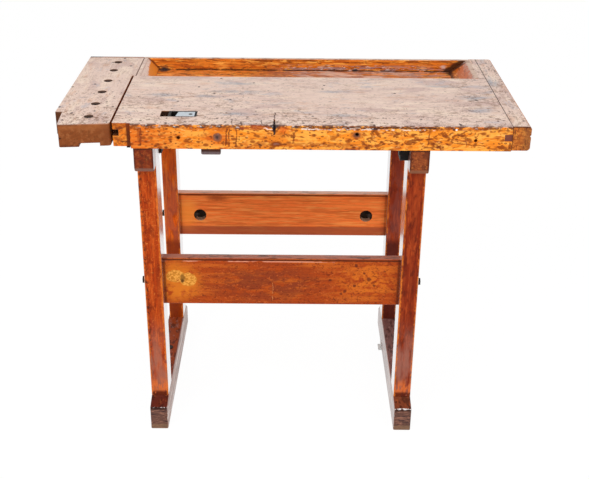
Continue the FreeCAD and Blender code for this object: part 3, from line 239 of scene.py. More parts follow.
# ---------------------------------------------------------------- timber
def sawn(coat, axis, dark, pale, seed=0.0, contrast=1.0, ring=6.0):
    """Growth rings, broad streaks and fine pores of a board whose grain runs along an axis.

    Real pores are a tenth of a millimetre wide. They are drawn 1.3 mm wide, so that they show.
    """
    stretched = coat.grain(along(axis, 16.0, 1.0), seed)
    rings = add(coat.tree, "TexWave", {"Vector": stretched, "Scale": RING_PITCH / ring,
                                       "Distortion": 9.0, "Detail": 3.0, "Detail Scale": 1.2,
                                       "Detail Roughness": 0.6},
                wave_type="RINGS", rings_direction=axis)
    coat.lay(dark, coat.ramp(rings.outputs["Fac"], 0.35, 1.0), 0.35 * contrast)
    coat.lay(pale, coat.clouds(along(axis, 120, 13), 0.46, 0.64, seed), 0.6 * contrast)
    coat.lay(dark, coat.clouds(along(axis, 130, 8), 0.52, 0.66, seed + 3.1), 0.6 * contrast)
    pores = coat.clouds(along(axis, 20, 1.3), 0.54, 0.68, seed + 5.3, detail=2)
    coat.lay(dark, pores, 0.5 * contrast)
    coat.press(pores, 0.12)


def worn_top(coat, axis, seed=0.0, patches=(), cracks=()):
    """The bench surface: varnish gone, bleached, stained blue-grey and full of small pits.

    It is busiest along the front, at the right end and on the left, where most work is done.
    """
    top = coat.both(coat.side("Z", low=0.86, high=0.97), coat.band("Z", TOP_Z - 7, TOP_Z - 4))
    front = coat.band("Y", -60, -255)
    right = coat.band("X", 330, 450)
    left = coat.both(coat.band("X", 60, -120), coat.band("Y", 20, -60))
    busy = coat.either(coat.both(front, 0.9), coat.both(right, 0.7), coat.both(left, 0.6), 0.3)
    patchy = coat.clouds((70, 60, 60), 0.42, 0.6, seed + 14)

    def lay(colour, mask, amount=1.0):
        coat.lay(colour, coat.both(top, mask), amount)

    coat.lay("#E8CCBD", top)
    lay("#F4DCC8", coat.clouds(along(axis, 130, 26), 0.48, 0.66, seed), 0.7)
    lay("#CFB1A8", coat.clouds(along(axis, 110, 46), 0.5, 0.66, seed + 4, twist=0.5), 0.8)
    lay("#BEB6BA", coat.clouds(along(axis, 60, 30), 0.58, 0.7, seed + 21, twist=0.5), 0.6)
    lay("#DDAF92", coat.clouds(along(axis, 60, 16), 0.56, 0.7, seed + 2), 0.5)
    for centre, size in patches:
        streaks = coat.clouds(along(axis, 30, 12), 0.32, 0.56, seed + 7)
        lay("#A3A4AC", coat.both(coat.blob(centre, size, soft=0.9), streaks), 0.8)
    lay("#9C7A6A", coat.clouds(along(axis, 34, 1.8), 0.56, 0.68, seed + 6, detail=2), 0.4)
    lay("#F2E6DA", coat.clouds(along(axis, 26, 2.4), 0.6, 0.72, seed + 8, detail=2), 0.4)
    scars = coat.both(busy, patchy, coat.clouds(along(axis, 17, 10), 0.52, 0.58, seed + 9))
    lay("#97725A", scars, 0.75)
    stains = coat.both(busy, coat.clouds(along(axis, 10, 7), 0.58, 0.63, seed + 12, twist=1.0))
    lay("#6E4A34", stains, 0.85)
    # Thin curling lines, where one noise is within a narrow span
    curls = coat.both(busy, patchy, coat.clouds((34, 40, 30), 0.5, 0.52, seed + 30, twist=1.2),
                      coat.clouds((34, 40, 30), 0.55, 0.53, seed + 30, twist=1.2))
    lay("#7A5440", curls, 0.65)
    nicks = coat.both(busy, coat.specks((22, 27, 20), 0.2, 0.5, seed + 1))
    pits = coat.specks((44, 50, 40), 0.1, 0.65, seed + 5)
    dots = coat.both(busy, coat.specks((12, 16, 11), 0.23, 0.34, seed + 16))
    marks = coat.either(nicks, pits, dots)
    lay("#38282A", marks, 0.95)
    for start, end, width in cracks:
        crack = coat.stroke(start, end, width)
        lay("#4A3029", crack, 0.9)
        coat.press(crack, 0.8)
    coat.press(coat.both(top, marks), 0.9)
    coat.press(coat.both(top, scars), 0.3)


def slab_timber(node):
    """Maple bench top, oiled long ago: pale and dull on top, orange varnish on its sides."""
    coat = Coat("worn maple slab", node, "#C56F2C")
    sawn(coat, "X", "#8A4416", "#E39A4C", ring=8)
    z = TOP_Z
    worn_top(coat, "X", patches=(
        ((-118, 35, z), (70, 20, 9)), ((-115, -30, z), (100, 16, 9)),
        ((126, -24, z), (60, 16, 9)), ((394, 27, z), (60, 18, 9)),
        ((461, -65, z), (55, 28, 9)), ((461, -160, z), (50, 24, 9)),
        ((-183, -66, z), (60, 16, 9)), ((-293, -61, z), (55, 20, 9)),
        ((-106, -196, z), (80, 20, 9)), ((142, -200, z), (70, 16, 9)),
    ), cracks=(
        ((476, -200, z), (519, -236, z), 1.6), ((430, -150, z), (488, -196, z), 1.3),
        ((CHIP_X, -186, z), (CHIP_X, -231, z), 1.9), ((410, 20, z), (475, 12, z), 1.0),
        ((-50, -96, z), (-28, -100, z), 1.3), ((-135, -193, z), (-118, -196, z), 1.5),
    ))
    # Painted shade: the bench stop's recess is laid dark inside, with paler flecks on its floor.
    pocket = coat.both(coat.band("Z", TOP_Z - 0.3, TOP_Z - 1.2),
                       coat.band("X", RECESS_X[1], RECESS_X[1] - 2),
                       coat.band("X", RECESS_X[0], RECESS_X[0] + 2),
                       coat.band("Y", RECESS_Y[1], RECESS_Y[1] - 2.5),
                       coat.band("Y", RECESS_Y[0], RECESS_Y[0] + 3))
    coat.lay("#3A2218", pocket)
    coat.lay("#7A5440", coat.both(pocket, coat.clouds((7, 7, 7), 0.52, 0.62, seed=3)), 0.8)
    coat.lay("#3B2A22", coat.strip("X", SEAM_X, 0.5, 0.4), 0.8)
    return coat.finish(0.5)


def apron_line(coat, colour, start, end, width, amount):
    """A wavering line on the apron's face, between two places given as X and Z."""
    line = coat.stroke((start[0], FACE_Y, start[1]), (end[0], FACE_Y, end[1]), width)
    coat.lay(colour, line, amount)


def apron_figure(coat):
    """The maple's own figure: light and dark drifts, then flecks from leaf to pinhead size."""
    coat.lay("#FCAA46", coat.clouds((40, 20, 10), 0.42, 0.56, twist=0.8), 0.95)
    coat.lay("#BF5E1A", coat.clouds((46, 20, 10), 0.53, 0.65, seed=4, twist=0.6), 0.85)
    coat.lay("#CC5212", coat.band("X", -150, -330), 0.6)
    for colour, x, z, size, amount in (
            ("#CC5A16", PLUG[0], 806, (52, 20, 26), 0.8),
            ("#D07020", -10, 815, (46, 20, 26), 0.6), ("#D07020", -70, 785, (70, 20, 14), 0.6)):
        coat.lay(colour, coat.blob((x, FACE_Y, z), size, 0.9), amount)
    lean = coat.clouds((17, 8, 9), 0.55, 0.66, seed=2, twist=0.6)
    large = coat.both(coat.clouds((26, 10, 14), 0.55, 0.64, seed=15, detail=2, twist=1.0),
                      coat.band("X", 40, 160))
    leaves = coat.specks((22, 30, 13), 0.42, 0.85, seed=29)
    small = coat.specks((14, 20, 8), 0.4, 0.7, seed=7)
    tiny = coat.specks((9, 9, 6), 0.34, 0.6, seed=3)
    dense = coat.clouds((60, 30, 30), 0.32, 0.46, seed=9)
    coat.lay("#9A4812", lean, 0.75)
    coat.lay("#8A3E0E", coat.both(leaves, dense), 0.85)
    coat.lay("#7C340E", large, 0.8)
    band = coat.both(coat.stroke((-60, FACE_Y, 794), (215, FACE_Y, 792), 6.5),
                     coat.clouds((26, 20, 20), 0.34, 0.5, seed=25))
    coat.lay("#A4501A", band, 0.65)
    coat.lay("#6A2E12", coat.both(small, dense), 0.8)
    coat.lay("#5E2A14", coat.both(tiny, dense), 0.8)
    coat.lay("#FFC078", coat.clouds((12, 9, 5), 0.64, 0.72, seed=21, detail=2), 0.45)


def apron_marks(coat):
    """Scratches, knots and the three old holes, their walls darkened with painted shade."""
    for x, top, low in ((-317, 830, 790), (-124, 829, 790), (-118, 829, 790), (-101, 833, 790),
                        (27, 822, 796), (332, 820, 796)):
        apron_line(coat, "#6E2E12", (x, top), (x - 2, low), 2.4, 0.75)
    apron_line(coat, "#8A3A14", (-320, 826), (-320, 800), 7.0, 0.6)
    for start, end in (((366, 826), (386, 800)), ((386, 800), (470, 792)),
                       ((410, 828), (416, 796)), ((180, 803), (196, 789)),
                       ((196, 812), (214, 801)), ((236, 806), (262, 800))):
        apron_line(coat, "#8A4214", start, end, 2.2, 0.75)
    for colour, x, z, size, soft, amount in (
            ("#77300F", -13, 794, (17, 12, 9), 0.4, 0.85),
            ("#8C5A4A", -13, 794, (10, 12, 4), 0.7, 0.85),
            ("#4E2A1A", -49, 791.5, (6, 8, 3), 0.6, 0.85),
            ("#A8501C", 169, 817, (19, 16, 15), 0.8, 0.9),
            ("#6E4534", 169, 817, (11, 18, 9), 0.6, 0.9)):
        coat.lay(colour, coat.blob((x, FACE_Y, z), size, soft), amount)
    # Painted shade: the three old holes are laid near black inside.
    for x, z, radius in ((-233, 807.5, 5.5), (169, 819, 6.5), (437, 806.4, 5)):
        hole = coat.blob((x, FACE_Y + 6, z), (radius, 12, radius), 0.4, crisp=True)
        coat.lay("#2B1E20", hole, 0.95)


def apron_arris(coat):
    """The bruised top edge with its long splinter and small dents; the bruise is handed back."""
    bruise = coat.both(coat.band("Z", TOP_Z - 11, TOP_Z - 2),
                       coat.side("Y", -1, low=0.1, high=0.4))
    coat.lay("#6A3418", coat.both(bruise, coat.clouds((14, 12, 9), 0.44, 0.54, seed=11)), 0.9)
    coat.lay("#B5A096", coat.both(bruise, coat.clouds((9, 9, 3), 0.58, 0.64, seed=13)), 0.8)
    y = FACE_Y
    coat.lay("#4A271A", coat.stroke((50, y, 835), (345, y, 834.5), 2.4, 0.4), 0.9)
    coat.lay("#D9781E", coat.stroke((60, y, 837.5), (300, y, 837.5), 1.8, 0.4), 0.8)
    fresh = coat.both(coat.stroke((46, y, 831), (205, y, 831.5), 2.4, 0.4),
                      coat.clouds((26, 10, 10), 0.4, 0.5, seed=17))
    coat.lay("#EADCD2", fresh, 0.9)
    fresh = coat.both(coat.stroke((215, y, 830), (345, y, 830), 1.2, 0.4),
                      coat.clouds((20, 10, 10), 0.46, 0.54, seed=18))
    coat.lay("#EADCD2", fresh, 0.8)
    for x, z, wide, high in ((-238, 833, 9, 3.5), (-178, 834, 9, 4), (-96, 832, 14, 4.5),
                             (207, 832, 9, 4), (-140, 835, 12, 2.5), (-300, 836, 10, 2.5),
                             (30, 835, 12, 2.5)):
        coat.lay("#44302D", coat.blob((x, y, z), (wide, 12, high)), 0.9)
        coat.lay("#CFC3BE", coat.blob((x - 3, y, z + 1), (wide * 0.4, 12, high * 0.45)), 0.85)
    return bruise


def apron_chip(coat):
    """The deep chip: grey walls, a dark split deepened with painted shade, and torn fibres; the
    split is handed back.
    """
    y = FACE_Y
    inside = coat.both(coat.strip("X", CHIP_X, 10.5, 0.5), coat.band("Z", 820, 822),
                       coat.band("Y", y + 0.6, y + 1.6), coat.side("Z", low=0.97, high=0.9))
    coat.lay("#5A4743", inside)
    coat.lay("#CDBFBA", coat.both(inside, coat.clouds((5, 5, 5), 0.52, 0.6, seed=23)), 0.8)
    # The split and the chip's core are laid near black: a real split, deepened with painted
    # shade.
    split = coat.either(coat.stroke((CHIP_X, y, TOP_Z), (CHIP_X, y, 827), 4.6, 0.3),
                        coat.stroke((CHIP_X, y, 832), (CHIP_X, y, 818), 2.8, 0.3))
    core_shade = coat.both(coat.strip("X", CHIP_X, 2.5, 2.0), coat.band("Z", 822, 825),
                     coat.band("Y", y + 10, y + 7))
    coat.lay("#A4421A", coat.both(coat.blob((-62, y, 833), (46, 12, 7), 0.5),
                                  coat.clouds((16, 12, 7), 0.4, 0.5, seed=53)), 0.75)
    coat.lay("#E0601A", coat.blob((3, y, 828), (14, 12, 10), 0.8), 0.6)
    for colour, start, end, width in (
            ("#5E2412", (-48, 829), (-20, 825), 1.6), ("#F0D6D2", (-41, 832), (-22, 829), 1.5),
            ("#6E2A10", (-14, 823), (-2, 836), 1.7), ("#9A4812", (6, 826), (6, 812), 1.8)):
        apron_line(coat, colour, start, end, width, 0.85)
    coat.lay("#2A2022", coat.either(split, core_shade), 0.95)
    return split


def apron_timber(node):
    """Figured maple under orange varnish, with dirt in its flecks and a bruised top edge."""
    coat = Coat("figured maple apron", node, "#F08A24")
    apron_figure(coat)
    apron_marks(coat)
    bruise = apron_arris(coat)
    z = TOP_Z
    worn_top(coat, "X", cracks=(
        ((CHIP_X, -231, z), (CHIP_X, -275, z), 3.4), ((-114, -232, z), (-112, -273, z), 1.7),
        ((-93, -248, z), (-90, -273, z), 3.0), ((-84, -258, z), (-100, -262, z), 2.0),
        ((-48, -236, z), (-45, -264, z), 1.5), ((CHIP_X, -252, z), (-6, -240, z), 1.2),
        ((207, -260, z), (207, -275, z), 3.4), ((401, -250, z), (404, -262, z), 3.0),
        ((-168, -256, z), (-186, -268, z), 2.0),
    ))
    edge = coat.both(coat.band("Y", -260, -269), coat.side("Z", low=0.5, high=0.8))
    coat.lay("#6B4738", coat.both(edge, coat.clouds((18, 20, 20), 0.48, 0.56, seed=19)), 0.85)
    split = apron_chip(coat)
    coat.lay("#2E2426", coat.blob((387, FACE_Y, 831.5), (5, 12, 3.5), 0.4), 0.85)
    coat.lay("#F2F0F4", coat.blob((392, FACE_Y, 831.5), (3, 12, 2.4), 0.3, crisp=True), 0.95)
    coat.press(coat.either(bruise, split), 0.5)
    return coat.finish(0.42, gloss=0.1)


def cap_timber(node):
    """Maple end caps: orange brown varnish on the sides, worn tops with their joints dark."""
    left = node == "left_end_cap"
    coat = Coat("maple end cap", node, "#EA7C1E" if left else "#CC742E")
    sawn(coat, "Y", "#7E3F16", "#E8953F", seed=2, ring=9)
    coat.lay("#8F4317", coat.clouds((13, 40, 6), 0.5, 0.6, seed=3, twist=1.0), 0.7)
    coat.lay("#F2973A", coat.clouds((16, 40, 8), 0.56, 0.66, seed=6), 0.85)
    front = coat.side("Y", -1)
    if left:
        # A dark joint line at the apron's end, widened with painted shadow cast by the apron
        # where it stands proud of the cap.
        coat.lay("#55200F", coat.both(front, coat.strip("X", -345.5, 4.0, 2.5)), 0.9)
        coat.lay("#6B2E14", coat.both(front, coat.blob((-366, -263, 826), (14, 10, 4))), 0.85)
        coat.lay("#8E3F14", coat.both(front, coat.band("Z", 812, 836)), 0.5)
        coat.lay("#5C2A14", coat.stroke((-368, -263, 796), (-346, -263, 792), 2.2), 0.85)
        # Painted shade: the groove is laid near black.
        groove_shade = coat.both(coat.band("X", -367.5, -369), coat.band("Z", 806.5, 808.5),
                           coat.band("Z", 824, 821.5))
        coat.lay("#201B1F", groove_shade, 0.97)
        ramp = coat.both(coat.side("X", 1, low=0.3, high=0.6), coat.side("Z", 1, 0.3, 0.5))
        coat.lay("#E88A34", ramp)
        foot, head = LEFT_RAMP_X
        varnish = coat.blob((foot, RAIL_Y, TRAY_Z), (34, 168, 34), 0.2)
        bare = coat.both(ramp, coat.ramp(varnish, 0.9, 0.3))
        coat.lay("#F0D8CA", bare)
        coat.lay("#C79C8A", coat.both(bare, coat.clouds((7, 9, 7), 0.52, 0.64, seed=4)), 0.7)
        coat.lay("#8A4A30", coat.both(ramp, coat.strip("X", head, 1.5, 1.5)), 0.25)
        worn_top(coat, "X")
        joint = coat.both(coat.side("Z"), coat.strip("X", -377.6, 1.1, 0.6))
        coat.lay("#5A3A2E", coat.both(joint, coat.band("Y", SLAB_Y - 3, SLAB_Y)), 0.85)
    else:
        coat.lay("#7A4A2C", coat.both(front, coat.band("X", 536, 556)), 0.6)
        coat.lay("#5A3018", coat.both(front, coat.clouds((3, 9, 14), 0.56, 0.64, seed=8)), 0.85)
        coat.lay("#4A2A1C", coat.both(front, coat.strip("X", SEAM_X, 2.4, 1.5)), 0.85)
        coat.lay("#6B3A34", coat.both(front, coat.band("X", 522, 516)), 0.9)
        coat.lay("#4A2A22", coat.both(front, coat.band("Z", TOP_Z - 5, TOP_Z - 2)), 0.85)
        worn_top(coat, "Y", seed=11, patches=(((530, 60, TOP_Z), (26, 60, 9)),))
        seam = coat.strip("X", SEAM_X + 0.4, 0.8, 0.5)
        coat.lay("#352420", coat.both(coat.side("Z"), seam), 0.9)
        rear = coat.both(coat.side("Z"), coat.band("Y", 40, 160))
        coat.lay("#3A2C2B", coat.both(rear, coat.specks((12, 12, 12), 0.3, 0.4, seed=31)), 0.92)
        coat.lay("#8E6E62", coat.both(rear, coat.clouds((9, 14, 9), 0.57, 0.65, seed=33)), 0.55)
    return coat.finish(0.48, gloss=0.1)


def jaw_timber(node):
    """The maple vise jaw: matt brown end grain in front, a worn top, dog holes darkened inside
    with painted shade.
    """
    coat = Coat("maple vise jaw", node, "#84451F")
    sawn(coat, "Y", "#6A3818", "#A8683C", seed=5, ring=10, contrast=0.8)
    front = coat.side("Y", -1, 0.4, 0.7)
    coat.lay("#9E5C30", coat.both(front, coat.band("Z", TOP_Z - 20, TOP_Z - 6)), 0.6)
    coat.lay("#7A4020", coat.both(front, coat.band("X", -420, -395)), 0.6)
    coat.lay("#B88468", coat.both(front, coat.strip("Z", TOP_Z - 1, 1, 0.8)), 0.6)
    coat.lay("#4A2212", coat.both(front, coat.edges(7)), 0.5)
    coat.lay("#2A1A14", coat.blob((-498, -277, 806), (3, 8, 3), 0.4), 0.9)
    # Painted shade: the dog holes' walls are laid grey-brown and go near black deeper down.
    bore_shade = coat.both(coat.band("Z", TOP_Z - 0.2, TOP_Z - 1), coat.strip("X", DOG_ROW_X, 14),
                      coat.band("Y", -262, -258), coat.band("Y", 262, 258),
                      coat.side("Z", low=0.6, high=0.3), coat.side("Z", -1, low=0.6, high=0.3))
    coat.lay("#6C564C", bore_shade)
    coat.lay("#1E1616", coat.both(bore_shade, coat.band("Z", TOP_Z - 2, TOP_Z - 7)))
    notch = coat.both(coat.side("Z", low=0.6, high=0.3), coat.side("Y", -1, 0.3, 0.6),
                      coat.band("X", -505, -508), coat.band("Y", -266, -260))
    coat.lay("#54301C", notch, 0.85)
    worn_top(coat, "Y", seed=17)
    top = coat.side("Z")
    for x, y in ((-485, -197), (-435, -182), (-496, -246), (-521, -155), (-398, -152),
                 (-455, 212), (-430, 250), (-402, 180), (-470, 20)):
        coat.lay("#33262A", coat.both(top, coat.blob((x, y, TOP_Z), (4.5, 5.5, 9), 0.5)), 0.9)
    back = coat.both(top, coat.band("Y", 256, 260))
    coat.lay("#8A451C", back, 0.9)
    coat.lay("#3A2622", coat.both(back, coat.band("X", -480, -500)), 0.9)
    return coat.finish(0.5, gloss=0.1)


def plug_timber(node):
    """A plug of darker wood, end grain outwards, ringed with old glue and dirt."""
    coat = Coat("dark end grain plug", node, "#9A5730")
    coat.lay("#6E4A40", coat.blob(PLUG, (9, 30, 9), 0.4), 0.9)
    coat.lay("#8E6A5C", coat.clouds((4, 30, 4), 0.54, 0.64, seed=4), 0.6)
    coat.lay("#43302E", coat.blob(PLUG, (4.5, 30, 4.5), 0.6), 0.9)
    return coat.finish(0.55, gloss=0.1)


def tray_timber(node):
    """Varnished tray maple: orange where tools never rubbed, stained and scuffed low down."""
    coat = Coat("stained tray maple", node, "#E27C24")
    sawn(coat, "X", "#8E3E0E", "#E98F34", seed=8, ring=9)
    coat.lay("#A84A1A", coat.clouds((60, 26, 10), 0.51, 0.63, seed=3), 0.62)
    coat.lay("#FFB450", coat.clouds((50, 16, 6), 0.55, 0.64, seed=13), 0.8)
    coat.lay("#6A2C12", coat.clouds((16, 9, 4), 0.59, 0.66, seed=23), 0.8)
    coat.lay("#7A3A1A", coat.both(coat.clouds((40, 14, 5), 0.52, 0.6, seed=27),
                                  coat.band("Z", 822, 832)), 0.7)
    low = coat.band("Z", TRAY_Z + 20, TRAY_Z + 9)
    reach = coat.both(low, coat.band("X", -60, 60), coat.band("X", 470, 400),
                      coat.band("Y", RAIL_Y - 75, RAIL_Y - 30))
    coat.lay("#A2827E", coat.both(reach, coat.clouds((46, 20, 6), 0.45, 0.57, seed=5)), 0.8)
    coat.lay("#E2CFC6", coat.both(reach, coat.clouds((14, 9, 3.4), 0.58, 0.66, seed=7)), 0.8)
    coat.lay("#412722", coat.both(low, coat.clouds((15, 9, 3.4), 0.56, 0.64, seed=9)), 0.85)
    if node == "tray_floor":
        coat.lay("#FF9A4E", coat.clouds((46, 14, 9), 0.48, 0.58, seed=34), 0.6)
        coat.lay("#A0583C", coat.both(coat.strip("X", 130, 150, 80),
                                      coat.clouds((40, 12, 9), 0.42, 0.54, seed=35)), 0.7)
        coat.lay("#F0CEBC", coat.both(coat.strip("X", 190, 120, 60),
                                      coat.clouds((50, 22, 9), 0.42, 0.6, seed=37)), 0.6)
    # A dark joint line where the floor meets the rail, with painted shade in the corner.
    joint_and_corner_shade = coat.both(coat.strip("Z", TRAY_Z, 1.8, 1.5), coat.band("Y", RAIL_Y - 6, RAIL_Y - 3),
                       coat.clouds((24, 24, 24), 0.34, 0.5, seed=39))
    coat.lay("#3A1F16", joint_and_corner_shade, 0.85)
    coat.lay("#2F2A2E", coat.blob((-325, 249, TRAY_Z + 2), (20, 18, 13), 0.6), 0.92)
    coat.lay("#332C2C", coat.blob((194, 256, TRAY_Z + 2), (10, 9, 6), 0.6), 0.92)
    # Painted shadow on the tray floor at the right ramp's foot.
    coat.lay("#3B2320", coat.blob((453, 240, TRAY_Z), (22, 26, 9), 0.7), 0.9)
    coat.lay("#D8C4BC", coat.blob((432, 254, 819), (12, 12, 7), 0.7), 0.7)
    if node == "tray_right_ramp":
        coat.lay("#C05A12", coat.band("X", 456, 468), 0.95)
        coat.lay("#F0B890", coat.clouds((6, 30, 8), 0.57, 0.65, seed=41), 0.4)
        coat.lay("#7E3A1A", coat.clouds((7, 26, 9), 0.54, 0.62, seed=43), 0.6)
        # Painted shadow along the ramp's rear in the mitre, and painted shade on the face at its
        # foot.
        coat.lay("#3E2014", coat.band("Y", 232, 244), 0.92)
        coat.lay("#3E2014", coat.band("X", 458, 451), 0.85)
        strip = coat.both(coat.band("X", 478, 492), coat.clouds((6, 9, 6), 0.42, 0.54, seed=3))
        coat.lay("#B9968A", strip, 0.9)
    if node == "tray_rear_rail":
        # Painted shadow on the rail along each ramp's mitre, with dirt in the gap.
        for (foot, head), lift, width, colour, amount in (
                (RIGHT_RAMP_X, 0, 15, "#331A10", 0.9), (LEFT_RAMP_X, 4, 5, "#6A3416", 0.85)):
            mitre_shade_and_dirt = coat.stroke((foot, RAIL_Y, TRAY_Z + lift), (head, RAIL_Y, TOP_Z), width, 0.5)
            coat.lay(colour, mitre_shade_and_dirt, amount)
    top = coat.both(coat.side("Z"), coat.band("Z", TOP_Z - 2, TOP_Z - 1))
    coat.lay("#CFAE98", top)
    coat.lay("#8A5A3A", coat.both(top, coat.clouds((30, 9, 9), 0.5, 0.6, seed=14)), 0.85)
    return coat.finish(0.42, gloss=0.1, glare=0.3 if node == "tray_rear_rail" else 0.1)


# Each leg's base, pale and dark colour
LEG_TONES = {
    "left_front_leg": ("#AC3C0C", "#D8601E", "#6E1F08"),
    "right_front_leg": ("#842A0E", "#B44A1E", "#561A0C"),
    "left_rear_leg": ("#E05C0C", "#FA7E22", "#A03A08"),
    "right_rear_leg": ("#8E3014", "#B44A20", "#5E2014"),
}


def leg_timber(node):
    """Birch legs in red-brown varnish, orange along their edges, partly rubbed through and partly
    a painted highlight.
    """
    base, pale, dark = LEG_TONES[node]
    coat = Coat("varnished leg birch", node, base)
    left = "left" in node
    seed = 3.0 * list(LEG_TONES).index(node)
    sawn(coat, "Z", dark, pale, seed=seed, ring=7, contrast=0.7)
    coat.lay(dark, coat.clouds((16, 16, 30), 0.5, 0.64, seed=seed + 3, detail=4), 0.6)
    coat.lay(pale, coat.clouds((8, 8, 50), 0.54, 0.66, seed=seed + 6), 0.65)
    coat.lay(dark, coat.clouds((5, 5, 9), 0.58, 0.68, seed=seed + 8), 0.4)
    if node == "left_front_leg":
        coat.lay("#E8863C", coat.clouds((7, 9, 5), 0.6, 0.68, seed=51, twist=1.5), 0.6)
        stain = coat.both(coat.band("X", -325, -333), coat.band("Y", -205, -218),
                          coat.clouds((9, 20, 12), 0.5, 0.58, seed=5))
        coat.lay("#3A1A14", stain, 0.85)
    if "front" in node:
        # Downwards: greyed at half height, rubbed orange lower down, dark just above the sled
        for colour, levels, size, low, high, shift, amount in (
                ("#A56652" if left else "#A06656", (330, 190), (16, 16, 90), 0.3, 0.58, 0, 0.8),
                ("#DC6E34", (140, 108), (7, 7, 30), 0.38, 0.54, 9, 0.85),
                ("#54180C", (96, 86), (12, 12, 12), 0.3, 0.45, 0, 0.9)):
            coat.lay(colour, coat.both(coat.band("Z", *levels),
                                       coat.clouds(size, low, high, seed + shift)), amount)
    else:
        coat.lay("#8A5048", coat.both(coat.band("Z", 640, 480),
                                      coat.clouds((20, 20, 60), 0.38, 0.54, seed=seed)), 0.4)
        # Painted shade: the rear legs are laid darker below the stretcher.
        coat.lay("#7E2C0A" if left else "#4E1A12", coat.band("Z", 350, 320), 0.85)
    # The orange edges are partly rubbed varnish and partly a painted highlight on the rounded
    # arrises.
    rubbed = coat.clouds((7, 7, 26), 0.36, 0.5, seed=seed)
    coat.lay("#E8802E", coat.both(coat.edges(5.5), rubbed), 0.8)
    return coat.finish(0.4, gloss=0.08, glare=0.9)


FOOT_TONES = {
    "left_trestle_head": "#7E3014", "right_trestle_head": "#8E4622",
    "left_sled_foot": "#6B4034", "right_sled_foot": "#7A5244", "nut_block": "#6B5348",
}


def head_dirt_and_light(coat, left):
    """Hand dirt and painted light on a trestle head: mottled front and dark edges, a pale lower
    rim that is a painted highlight, and a dark band just under the top.
    """
    front = coat.side("Y", -1, 0.3, 0.6)
    mottles = coat.both(front, coat.clouds((6, 20, 6), 0.57, 0.66, seed=8))
    coat.lay("#B4652E", mottles, 0.3 if left else 0.6)
    coat.lay("#43180E", coat.both(front, coat.edges(6)), 0.7)
    # Painted highlight: the pale band along the head's lower bevel.
    coat.lay("#8A6456" if left else "#8C5C42", coat.both(front, coat.band("Z", 731, 727)), 0.7)
    coat.lay("#4A2A20", coat.band("Z", 772, 778), 0.8)


def sled_dirt_and_sheen(coat, node, left):
    """Floor dirt and painted sheen on a sled: dark nose slope, chipped ridge, ringed end, and an
    inner face laid pale as painted sheen, streaked light and dark.
    """
    ridge = HIGH[node].z - 13
    toe = LOW[node].y
    front = coat.side("Y", -1, 0.3, 0.6)
    slope = coat.both(coat.side("Z", low=0.1, high=0.3), coat.band("Y", toe + 68, toe + 62))
    coat.lay("#5E1E10" if left else "#7C3A1E", slope, 0.85)
    coat.lay("#2E120C", coat.both(slope, coat.clouds((14, 20, 8), 0.48, 0.6, seed=45)), 0.6)
    coat.lay("#A4522A", coat.both(slope, coat.clouds((10, 24, 8), 0.56, 0.64, seed=47)),
             0.35 if left else 0.6)
    coat.lay("#2E1A16", coat.both(front, coat.strip("Z", ridge - 3, 3.5, 2.0)), 0.85)
    chips = coat.clouds((6, 9, 3), 0.54 if left else 0.48, 0.6, seed=2)
    coat.lay("#EFE6E2", coat.both(front, coat.strip("Z", ridge + (2 if left else 0), 2, 1.5),
                                  chips), 0.85)
    if left:
        coat.lay("#2E1A16", coat.both(front, coat.strip("Z", ridge + 5, 3.5, 2),
                                      coat.clouds((8, 9, 4), 0.5, 0.58, seed=12)), 0.85)
    else:
        coat.lay("#F2ECEA", coat.stroke((306, toe, ridge + 1), (330, toe, ridge + 2), 3.5), 0.9)
    end = coat.both(coat.side("Y", -1), coat.band("Z", ridge - 4, ridge - 9))
    coat.lay("#62453C", end, 0.85)
    rings = coat.both(end, coat.clouds((24, 30, 3.6), 0.5, 0.6, seed=9, twist=1.5))
    coat.lay("#A2705C", rings, 0.75)
    coat.lay("#38262A", coat.both(end, coat.clouds((26, 30, 5), 0.54, 0.62, seed=19)), 0.75)
    coat.lay("#8A6A50", coat.both(end, coat.band("Z", 16, 12)), 0.6)
    flat = coat.both(coat.side("Z", low=0.9, high=0.98), coat.band("Y", toe + 60, toe + 70))
    coat.lay("#963E14" if left else "#7A5450", flat, 0.85)
    coat.lay("#3A1810", coat.both(flat, coat.clouds((9, 26, 9), 0.5, 0.6, seed=15)), 0.7)
    coat.lay("#A38078", coat.both(flat, coat.clouds((10, 16, 9), 0.57, 0.65, seed=5)),
             0.35 if left else 0.7)
    # Painted sheen: the inner face is laid pale, with pale streaks, and darker streaks along the
    # grain.
    inner = coat.side("X", 1 if left else -1)
    much = 0.8 if left else 0.5
    coat.lay("#B08674" if left else "#A88C82", inner, much)
    coat.lay("#6E3C28", coat.both(inner, coat.clouds((9, 140, 10), 0.48, 0.6, seed=25)), much)
    coat.lay("#F0E2DA", coat.both(inner, coat.clouds((9, 120, 8), 0.5, 0.64, seed=29)), much)
    coat.lay("#8E3E1C", coat.both(inner, coat.band("Z", ridge - 4, ridge + 8)), 0.6)


def foot_timber(node):
    """Birch sleds, heads and nut block: the same varnish, dull and nearly black with dirt."""
    coat = Coat("dirty brown birch", node, FOOT_TONES[node])
    sawn(coat, "Y", "#4A1D10", "#9A4E26", seed=6, contrast=0.8)
    coat.lay("#4A2014", coat.clouds((12, 26, 12), 0.5, 0.6, seed=4, detail=4), 0.55)
    left = "left" in node
    if "sled" in node:
        sled_dirt_and_sheen(coat, node, left)
        return coat.finish(0.5, gloss=0.1, glare=0.2 if left else 0.4)
    if "head" in node:
        head_dirt_and_light(coat, left)
    else:
        front = coat.side("Y", -1, 0.1, 0.4)
        coat.lay("#5A3A30", front, 0.7)
        coat.lay("#96888C", coat.both(front, coat.band("Z", 684, 680)), 0.8)
    return coat.finish(0.46, gloss=0.1, glare=0.6)


